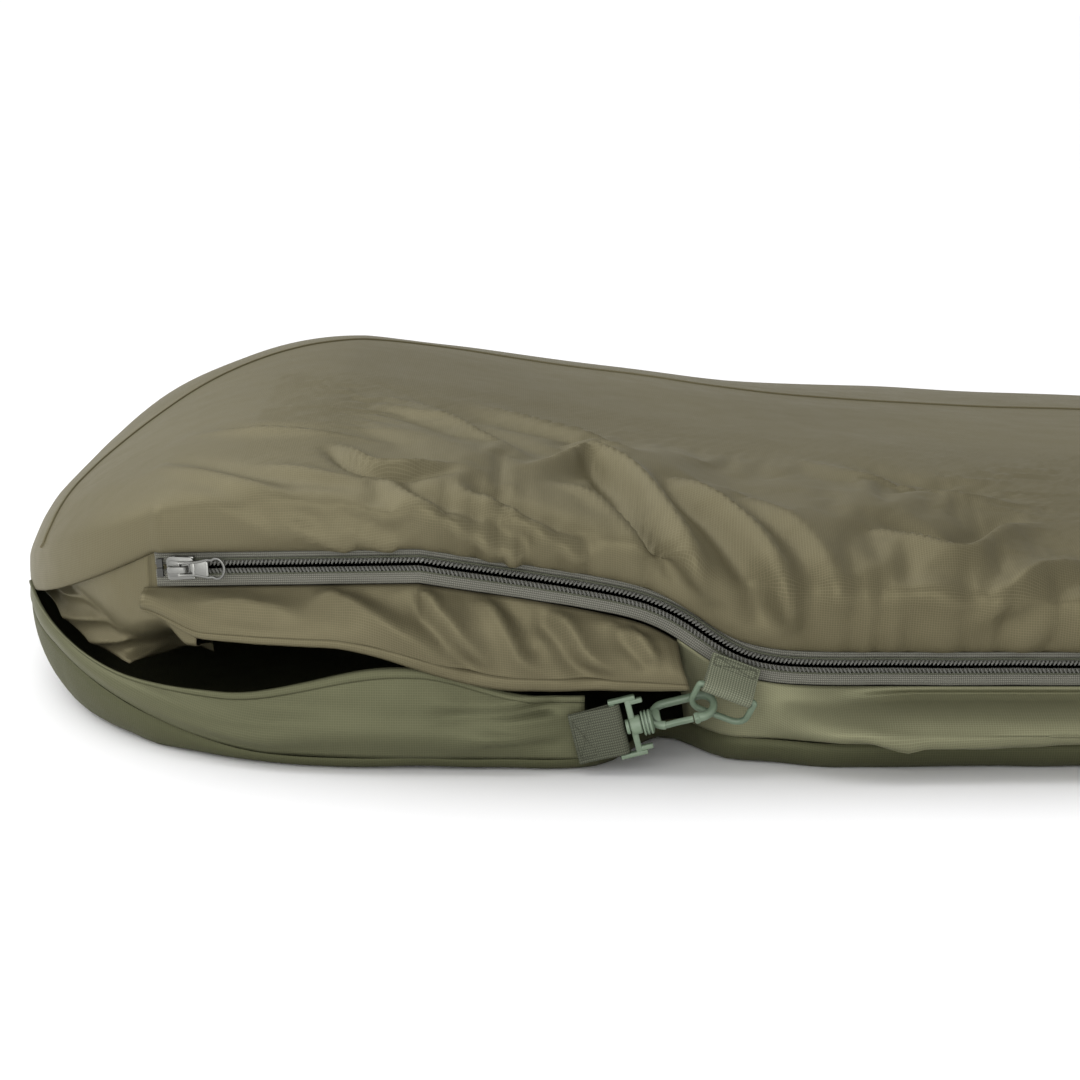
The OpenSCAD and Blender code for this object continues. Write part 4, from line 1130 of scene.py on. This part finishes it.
def moulded(name, colour, roughness, grain=0.00003, metal=0.0, worn=None):
    """A moulded or cast part: an even colour, a fine grain, and paler rubbed edges where worn is given."""
    made, tree, shader, coordinates = new_material(name, roughness)
    fine = tree.nodes.new("ShaderNodeTexNoise")
    fine.inputs["Scale"].default_value, fine.inputs["Detail"].default_value = 2600, 2
    link(tree, coordinates.outputs["Object"], fine.inputs["Vector"])
    broad = tree.nodes.new("ShaderNodeTexNoise")
    broad.inputs["Scale"].default_value, broad.inputs["Detail"].default_value = 160, 4
    link(tree, coordinates.outputs["Object"], broad.inputs["Vector"])
    base = ramp(tree, broad.outputs["Fac"], [(0.35, tuple(0.86 * c for c in colour)), (0.7, colour)])
    if worn:
        edges = tree.nodes.new("ShaderNodeNewGeometry")
        mask = ramp(tree, edges.outputs["Pointiness"], [(0.52, (0, 0, 0)), (0.60, (1, 1, 1))])
        base = mix_colours(tree, mask, base, worn)
    link(tree, base, shader.inputs["Base Color"])
    link(tree, math_node(tree, "MULTIPLY_ADD", broad.outputs["Fac"], 0.2, roughness - 0.1),
         shader.inputs["Roughness"])
    link(tree, bump(tree, fine.outputs["Fac"], 0.3, grain), shader.inputs["Normal"])
    shader.inputs["Metallic"].default_value = metal
    return made


webbing = woven("olive webbing", (0.070, 0.076, 0.048), (0.215, 0.228, 0.156), 0.0013, 0.0011, 1.0)
dark_webbing = woven("shaded olive webbing", (0.034, 0.037, 0.024), (0.112, 0.118, 0.080), 0.0013, 0.0011,
                     1.0)
tape_cloth = woven("grey zip tape", (0.065, 0.064, 0.052), (0.215, 0.212, 0.175), 0.0011, 0.0010, 0.8, 0.85)
coil_nylon = moulded("dark coil nylon", (0.16, 0.16, 0.145), 0.26)
thread = woven("olive thread", (0.050, 0.054, 0.034), (0.120, 0.126, 0.086), 0.0004, 0.0006, 1.0, 0.6)
clip_plastic = moulded("green moulded plastic", (0.130, 0.178, 0.118), 0.42, 0.00004, 0.0,
                       (0.19, 0.25, 0.17))
gunmetal = moulded("brushed gunmetal", (0.15, 0.15, 0.14), 0.36, 0.00003, 0.85, (0.42, 0.42, 0.39))
stop_metal = moulded("dark stop metal", (0.07, 0.07, 0.065), 0.4, 0.00003, 0.8)
print("materials:", len(bpy.data.materials))

# %% [markdown]
# ## Zip tapes
# Each tape is a narrow woven band that follows the zip's line, and it waves a little between the puckers of the
# cloth sewn to it. A raised cord of stitches holds the coil to its inner edge.

# %% Zip tapes
def zip_wave(s):
    """The zip's small uneven waves out of and across its line, beyond the stretch on which the slider runs."""
    away = ease((s - RUN_END - 0.01) / 0.05)
    return 0.0006 * wander(s, 0 * s, 0.022, 71) * away


def tape_mesh(name, low, high, out, columns=520, rows=4):
    s = RUN_START + (ZIP_END - RUN_START) * np.linspace(0, 1, columns + 1) ** 1.35
    v = np.linspace(low, high, rows + 1)
    lie = beside_zip(s[:, None] + 0 * v[None, :], out + zip_wave(s)[:, None] + 0 * v[None, :],
                     v[None, :] + 0 * s[:, None])
    return grid_mesh(name, lie, np.stack(grid_lengths(lie), -1))


for label, side in (("upper", 1), ("lower", -1)):
    low, high = sorted((side * (ROW_GAP + 0.0004), side * TAPE_TOP))
    tape = new_object("zip_tape_%s_woven" % label, tape_mesh("zip_tape_%s_woven" % label, low, high,
        -0.0003))
    thicken(tape, 0.0008)
    paint(tape, tape_cloth)
    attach(tape, "sack")
    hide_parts("zip_tape_" + label)
print("tapes", len(tape.data.polygons), "faces each")

# %% [markdown]
# ## Coils
# A coil zip is a nylon spiral sewn to each tape. From the front it shows a row of slanted loops, each with a
# bright top and a dark gap. One loop is modelled with a few dozen faces, an Array modifier repeats it along a
# straight line, and the whole row is then bent along the zip by its length.

# %% Coils
PITCH = 0.0020
line_s = np.linspace(RUN_START + 0.006, ZIP_END - 0.001, 4000)
line_length = np.concatenate([[0], np.cumsum(np.linalg.norm(np.diff(zip_point(line_s), axis=0), axis=1))])
LOOPS = int(line_length[-1] / PITCH)


def bend_along_zip(mesh, side):
    """Takes a straight row, made along X with Y outwards and Z across, and lays it along the zip."""
    flat = np.empty(len(mesh.vertices) * 3)
    mesh.vertices.foreach_get("co", flat)
    flat = flat.reshape(-1, 3)
    s = np.interp(flat[:, 0], line_length, line_s)
    lie = beside_zip(s, flat[:, 1] + zip_wave(s), side * flat[:, 2])
    mesh.vertices.foreach_set("co", lie.ravel())
    mesh.update()


for label, side in (("upper", 1), ("lower", -1)):
    bm = bmesh.new()
    bmesh.ops.create_uvsphere(bm, u_segments=8, v_segments=5, radius=1)
    slant = Matrix(((1, 0, 0.45, 0), (0, 1, 0, 0), (0, 0, 1, 0), (0, 0, 0, 1)))
    size = Matrix.Diagonal((0.00072, 0.00115, 0.00145, 1))
    shift = PITCH * (0.5 + 0.25 * side)       # the two rows' loops lie between each other
    bmesh.ops.transform(bm, matrix=Matrix.Translation((shift, 0.00125, 0.0020)) @ slant @ size,
                        verts=bm.verts)
    row = new_object("row", mesh_from(bm, "row"))
    repeat = row.modifiers.new("repeat", "ARRAY")
    repeat.use_relative_offset, repeat.use_constant_offset = False, True
    repeat.constant_offset_displace, repeat.count = (PITCH, 0, 0), LOOPS
    bpy.context.view_layer.update()
    mesh = bpy.data.meshes.new_from_object(row.evaluated_get(bpy.context.evaluated_depsgraph_get()))
    bpy.data.objects.remove(row)
    bend_along_zip(mesh, side)
    if side < 0:
        mesh.flip_normals()
    finish_part("zip_coil_%s_loops" % label, mesh, Matrix(), coil_nylon, "sack",
                ["zip_coil_" + label], 60)
    core = line_s[::8]
    cord = sweep("zip_cord_" + label, beside_zip(core, 0.0002 + zip_wave(core),
                                                 side * (ROW_GAP + ROW_WIDTH - 0.0001) + 0 * core),
                 rounded(0.0010, 0.0012, 0.0004, 2), (0, -1, 0))
    finish_part("zip_cord_" + label, cord, Matrix(), thread, "sack")
print("loops in each row", LOOPS)

# %% Slider's frame
SLIDER_S = 0.118
slider_along, slider_out, slider_up = (Vector(a) for a in zip_frame(np.array(SLIDER_S)))
slider_frame = Matrix.Translation(Vector(zip_point(np.array(SLIDER_S)))) @ Matrix((slider_along,
    -slider_out, slider_up)).transposed().to_4x4()


def trapezium(name, x0, x1, wide0, wide1, front_y, back_y, corner, round_off):
    """A plate in the zip's plane that narrows along X, with rounded corners, in millimetres."""
    bm = bmesh.new()
    bmesh.ops.create_cube(bm, size=1)
    for vertex in bm.verts:
        x, y, z = vertex.co
        wide = wide0 if x < 0 else wide1
        vertex.co = Vector((x0 if x < 0 else x1, front_y if y < 0 else back_y, z * wide)) / 1000
    upright = [e for e in bm.edges if abs((e.verts[0].co - e.verts[1].co).normalized().y) > 0.99]
    bmesh.ops.bevel(bm, geom=upright, offset=corner, segments=4, profile=0.5, affect="EDGES", material=-1)
    rim = [e for e in bm.edges
           if abs((e.verts[0].co - e.verts[1].co).normalized().y) < 0.5 and e.calc_face_angle(0) > 1.2]
    bmesh.ops.bevel(bm, geom=rim, offset=round_off, segments=2, profile=0.5, affect="EDGES", material=-1)
    return mesh_from(bm, name)


# %% [markdown]
# ## Slider and pull tab
# The slider has two plates with the coils running between them, side rails that press the coils together, a
# wedge that parts them, and an arched crown. The pull is a flat tab that turns about the crown. It widens
# towards its end, which is an oval ring, and two bridges tie its sides together.

# %% Slider
FRONT, BACK, PLATE = 2.7, 1.4, 1.2
body_parts = [
    trapezium("plate", -7, 7, 12, 10.6, -FRONT - PLATE, -FRONT, 0.0022, 0.0004),
    trapezium("plate", -6.2, 5.2, 8.2, 6.6, -FRONT - PLATE - 0.45, -FRONT - PLATE + 0.1, 0.0018, 0.0003),
    trapezium("plate", -7, 7, 12, 10.6, BACK, BACK + PLATE, 0.0022, 0.0004),
    block("neck", (-5.6, -FRONT - 0.1, -0.6), (-2.4, BACK + 0.1, 0.6), 0.0002)]
for side in (-1, 1):
    edge = sorted((side * 4.4, side * 5.5))
    body_parts.append(block("rail", (-3.8, -FRONT - 0.2, edge[0]), (6.8, -0.1, edge[1]), 0.0003))
    shoulder_low, shoulder_high = sorted((side * 4.6, side * 6.0))
    body_parts.append(block("shoulder", (-5.4, -FRONT - 0.2, shoulder_low), (-2.6, -0.9, shoulder_high),
                            0.0005))
finish_part("slider_body_cast", join_meshes("slider_body_cast", body_parts), slider_frame, gunmetal,
            "slider", ["slider_body"])
crown_path = np.concatenate([[(-5.6, -3.7), (-5.4, -4.6)], arc(-3.2, -6.3, 1.9, 170, 270, 6),
                             arc(2.5, -6.9, 1.5, 280, 360, 5), [(4.0, -3.7)]]) / 1000
crown_path = np.stack([crown_path[:, 0], crown_path[:, 1], 0 * crown_path[:, 0]], -1)
crown = sweep("crown", crown_path, rounded(0.0013, 0.0032, 0.0004, 3), (0, 0, 1))
finish_part("slider_crown_cast", crown, slider_frame, gunmetal, "slider", ["slider_crown"])
print("slider at", [round(c, 4) for c in slider_frame.translation])

# %% Pull tab
PULL_Y, PULL_LENGTH = -5.6, 24.0
half = np.array([(0.0, 2.95), (4.0, 2.95), (8.0, 3.2), (11.5, 3.7), (14.6, 4.4)])
turn = np.radians(np.linspace(-122, 122, 28))
ring_end = np.stack([19.4 + 3.95 * np.cos(turn), 5.0 * np.sin(turn)], -1)
outline = np.concatenate([half * (1, -1), ring_end, half[::-1]])
outline = np.stack([outline[:, 0], 0 * outline[:, 0] + PULL_Y, outline[:, 1]], -1) / 1000
pull_parts = [
    sweep("pull", outline, rounded(0.0013, 0.0015, 0.0005, 3), (0, -1, 0)),
    turned("hinge", [(-3.6, 0), (-3.6, 0.6), (-3.45, 0.75), (3.45, 0.75), (3.6, 0.6), (3.6, 0)], 20),
    trapezium("panel", 7.2, 14.6, 5.8, 8.0, PULL_Y - 0.45, PULL_Y + 0.45, 0.0005, 0.0003),
    block("bridge", (6.9, PULL_Y - 0.7, -2.9), (8.2, PULL_Y + 0.7, 2.9), 0.0004),
    block("bridge", (14.0, PULL_Y - 0.7, -3.6), (15.2, PULL_Y + 0.7, 3.6), 0.0004)]
pull_parts[1].transform(Matrix.Translation((0, PULL_Y / 1000, 0)) @ Matrix.Rotation(pi / 2, 4, "Y"))
finish_part("pull_tab_cast", join_meshes("pull_tab_cast", pull_parts), slider_frame, gunmetal,
            "pull", ["pull_tab"])
for node in ("zip_top_stops", "zip_bottom_stop"):
    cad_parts[node].data.materials.clear()
    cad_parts[node].data.materials.append(stop_metal)
print("pull tab", round(PULL_LENGTH), "mm long")

# %% [markdown]
# ## Snap hook
# The hook is moulded in three pieces: a base with a bar for the webbing, a swivelling hook with a ribbed
# collar, and a sprung gate. Its frame is a rounded bar that runs from the nose round the end and back along
# the spine, with a thin web where the nose thickens.

# %% Hook's frames
HOOK_RISE, HOOK_TURN = 14, -52
hook_frame = Matrix.Translation((0.333 + head_x, -0.3436, 0.0238)) @ Matrix.Rotation(radians(-HOOK_RISE), 4,
    "Y")
swivel_frame = hook_frame @ Matrix.Rotation(radians(HOOK_TURN), 4, "X")
base_parts = [turned("bar", [(-14, 0), (-14, 1.6), (14, 1.6), (14, 0)], 20)]
base_parts[0].transform(Matrix.Translation((-0.003, 0, 0)) @ Matrix.Rotation(pi / 2, 4, "Y"))
for side in (-1, 1):
    cheek, lug, tip = sorted((side * 12.8, side * 15)), sorted((side * 10.6,
        side * 13)), sorted((side * 9.6, side * 12.2))
    base_parts.append(block("cheek", (-4.8, -2.1, cheek[0]), (8.5, 2.1, cheek[1]), 0.0006, 3))
    base_parts.append(block("lug", (4.6, -1.7, lug[0]), (11.6, 1.7, lug[1]), 0.0006, 3))
base_parts.append(block("bridge", (3.0, -1.9, -14.2), (6.0, 1.9, 14.2), 0.0006, 3))
base_parts.append(turned("boss", [(3.2, 2.7), (3.2, 4.1), (3.7, 4.6), (8.1, 4.6), (8.6, 4.1), (8.6, 2.7)],
                         32))
finish_part("hook_base_moulded", join_meshes("hook_base_moulded", base_parts), hook_frame, clip_plastic,
            "clip_base", ["hook_base"])

# %% Hook
EYE_START, EYE_END, EYE_WIDTH, ARM, EYE_SIDE = 16.0, 42.8, 9.2, 3.5, 2.0
middle = EYE_WIDTH / 2 + ARM / 2
foot_x, root_x = EYE_END - EYE_WIDTH / 2, EYE_START + EYE_WIDTH / 2
eye = np.concatenate([[(33.9, EYE_SIDE - middle)], arc(foot_x, EYE_SIDE, middle, -90, 90, 16),
                      [(30.5, EYE_SIDE + middle)], arc(root_x, EYE_SIDE, middle, 90, 262, 14)])
eye = np.stack([eye[:, 0], 0 * eye[:, 0], eye[:, 1]], -1) / 1000
grow = np.ones(len(eye))
grow[:3] = (1.12, 1.1, 1.05)
hook_parts = [
    sweep("eye", eye, rounded(ARM / 1000, 0.0040, 0.0013, 3), (0, -1, 0), scale=grow),
    block("nose", (33.9, -2.3, EYE_SIDE - middle - 2.2), (36.6, 2.3, EYE_SIDE - middle + 1.9), 0.0007, 3),
    block("root", (13.0, -2.0, -3.2), (18.2, 2.0, 5.6), 0.0008, 3),
    turned("collar", [(9.0, 0), (9.0, 5.5), (9.2, 6.0), (9.9, 6.1), (10.15, 5.3), (10.6, 5.3), (10.8, 6.0),
                      (11.6, 6.1), (11.85, 5.3),
                      (12.3, 5.3), (12.5, 6.0), (13.3, 6.1), (13.8, 5.4), (14.6, 3.6), (14.6, 0)]),
    turned("stud", [(1.0, 0), (1.0, 3.4), (1.2, 3.6), (2.6, 3.6), (2.8, 2.4), (9.4, 2.4), (9.4, 0)], 32)]
finish_part("hook_body_moulded", join_meshes("hook_body_moulded", hook_parts), swivel_frame, clip_plastic,
            "clip_hook", ["hook_body"])
gate_z = EYE_SIDE - middle
gate_path = np.array([(18.6, 0, gate_z), (20.5, 0, gate_z), (26.0, 0, gate_z + 0.15), (31.0, 0, gate_z),
                      (33.3, 0, gate_z)]) / 1000
gate = sweep("gate", gate_path, rounded(0.0024, 0.0031, 0.0007, 3), (0, -1, 0), scale=(0.9, 1, 1, 1, 0.95))
finish_part("hook_gate_moulded", gate, swivel_frame, clip_plastic, "clip_gate",
            ["hook_gate"])
print("hook is", EYE_END + ARM, "mm long from its swivel")

# %% [markdown]
# ## D-ring and webbing
# Both pieces of webbing are 25 mm wide and folded round a bar. A flat ribbon swept round the bar and back gives
# the fold, its two layers and the woven edge in one piece, and a box of stitches with a cross holds each down.

# %% D-ring
RING_WIRE, RING_INNER, RING_DEPTH, RING_BEND = 3.0, 25.2, 16.0, 6.0
ring_frame = Matrix.Translation((0.382 + head_x, -0.3493, 0.0426))
leg = (RING_INNER + RING_WIRE) / 2
loop = np.concatenate([arc(-leg + 1.2, -1.2, 1.2, 90, 180, 4),
                       arc(-leg + RING_BEND, -RING_DEPTH + RING_BEND, RING_BEND, 180, 270, 8),
                       arc(leg - RING_BEND, -RING_DEPTH + RING_BEND, RING_BEND, 270, 360, 8),
                       arc(leg - 1.2, -1.2, 1.2, 0, 90, 4)])
loop = np.stack([loop[:, 0], 0 * loop[:, 0], loop[:, 1]], -1) / 1000
ring = sweep("d_ring_moulded", loop, rounded(0.003, 0.003, 0.00135, 4), (0, 1, 0), closed=True)
finish_part("d_ring_moulded", ring, ring_frame @ Matrix.Rotation(radians(21), 4,
    "Y") @ Matrix.Rotation(radians(30), 4, "X"),
            clip_plastic, "ring", ["d_ring"])


def webbing_wrap(bar_radius, near, far, width, gap):
    """A ribbon from its sewn end round a bar and back, in the plane across the bar, in millimetres."""
    inside = bar_radius + 0.3 + 0.75
    flat = gap + 0.8
    lay = np.array([(far, flat), (near + (far - near) * 0.4, flat), (near * 0.7, mix(flat, inside, 0.35)),
                    (near * 0.25, inside * 0.98)])
    wrap = arc(0, 0, inside, 90, 270, 14) if far > 0 else arc(0, 0, inside, 90, -90, 14)
    path = np.concatenate([lay, wrap, lay[::-1] * (1, -1)])
    return np.stack([path[:, 0], path[:, 1], 0 * path[:, 0]], -1) / 1000, rounded(0.0015, width / 1000,
        0.0006, 2)


def box_stitch(name, long, wide, lift):
    """A box of sewing with a cross in it, as short threads that lie on the webbing's face."""
    corners = [(-long / 2, -wide / 2), (long / 2, -wide / 2), (long / 2, wide / 2), (-long / 2, wide / 2)]
    runs = [(corners[k], corners[(k + 1) % 4]) for k in range(4)] + [(corners[0], corners[2]),
        (corners[1], corners[3])]
    stitches = []
    for (ax, az), (bx, bz) in runs:
        count = int(hypot(bx - ax, bz - az) / 2.1)
        for k in range(count):
            a, b = (k + 0.14) / count, (k + 0.86) / count
            ends = np.array([(mix(ax, bx, t), -lift - dip, mix(az, bz, t)) for t,
                             dip in ((a, -0.2), (mix(a, b, 0.3), 0.22), (mix(a, b, 0.7), 0.22), (b, -0.2))])
            stitches.append(sweep("stitch", ends / 1000, rounded(0.0005, 0.0005, 0.0002, 1), (0, -1, 0)))
    return join_meshes(name, stitches)


# %% Webbing
path, ribbon = webbing_wrap(1.6, -13, -22, 25, 0.15)
strap = sweep("hook_webbing", path, ribbon, (0, 0, 1))
finish_part("hook_webbing", strap, hook_frame @ Matrix.Translation((-0.003, 0, 0)), dark_webbing,
            "sack", ["hook_strap"], 60)
stitching = box_stitch("hook_webbing_stitches", 9, 20, 1.85)
finish_part("hook_webbing_stitches", stitching, hook_frame @ Matrix.Translation((-0.0195, 0, 0)), thread,
            "sack", ["hook_strap_stitches"])
path, ribbon = webbing_wrap(1.5, 10, 17, 24.6, 0.15)
path = np.stack([path[:, 2], path[:, 1], path[:, 0]], -1)
ring_strap = sweep("ring_webbing", path, ribbon, (1, 0, 0))
strap_frame = ring_frame @ Matrix.Rotation(radians(21), 4, "Y") @ Matrix.Rotation(radians(-38), 4, "X")
finish_part("ring_webbing", ring_strap, strap_frame, webbing, "sack", ["ring_strap"], 60)
stitching = box_stitch("ring_webbing_stitches", 21, 5, 1.85)
finish_part("ring_webbing_stitches", stitching, strap_frame @ Matrix.Translation((0, 0, 0.013)), thread,
            "sack", ["ring_strap_stitches"])
seam_paint = moulded("clear seam tape", (0.20, 0.19, 0.13), 0.5)
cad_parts["shell_seam_tape"].data.materials.clear()
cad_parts["shell_seam_tape"].data.materials.append(seam_paint)
print("webbing folded round its bars")

# %% [markdown]
# ## Seams
# A felled seam is a double fold of cloth sewn flat, so it shows as a narrow raised strip with a fine edge on
# both sides. The strips below lie on the finished cloth, so they follow its folds.

# %% Seam strips
def seam_strip(name, lie, stations, shares, path, width):
    """A raised strip along a path of (s, share) points on a finished panel."""
    path = np.asarray(path, float)
    for _ in range(3):
        inner = np.stack([mix(path[:-1], path[1:], 0.25), mix(path[:-1], path[1:], 0.75)], 1).reshape(-1, 2)
        path = np.concatenate([path[:1], inner, path[-1:]])
    rough = on_cloth(lie, stations, shares, path[:, 0], path[:, 1])
    length = np.concatenate([[0], np.cumsum(np.linalg.norm(np.diff(rough, axis=0), axis=1))])
    even = np.linspace(0, length[-1], int(length[-1] / 0.004))
    s, v = np.interp(even, length, path[:, 0]), np.interp(even, length, path[:, 1])
    low, high = on_cloth(lie, stations, shares, s, v), on_cloth(lie, stations, shares, s, v, 0.01)
    return sweep(name, mix(low, high, 0.03), rounded(width, 0.0014, 0.0006, 2), (high - low) / 0.01)


strips = [
    ([(0.030, 0.06), (0.040, 0.26), (0.070, 0.42), (0.110, 0.50), (0.160, 0.55), (0.220, 0.585),
      (0.30, 0.60), (0.45, 0.61), (0.80, 0.62), (1.60, 0.62), (2.15, 0.62)], 0.006),
]
for k, (path, width) in enumerate(strips):
    strip = seam_strip("shell_seam_%d" % k, shell_lie, shell_stations, shell_shares, path, width)
    finish_part("shell_seam_%d" % k, strip, Matrix(), khaki_nylon, "sack")
print("seams", len(strips))
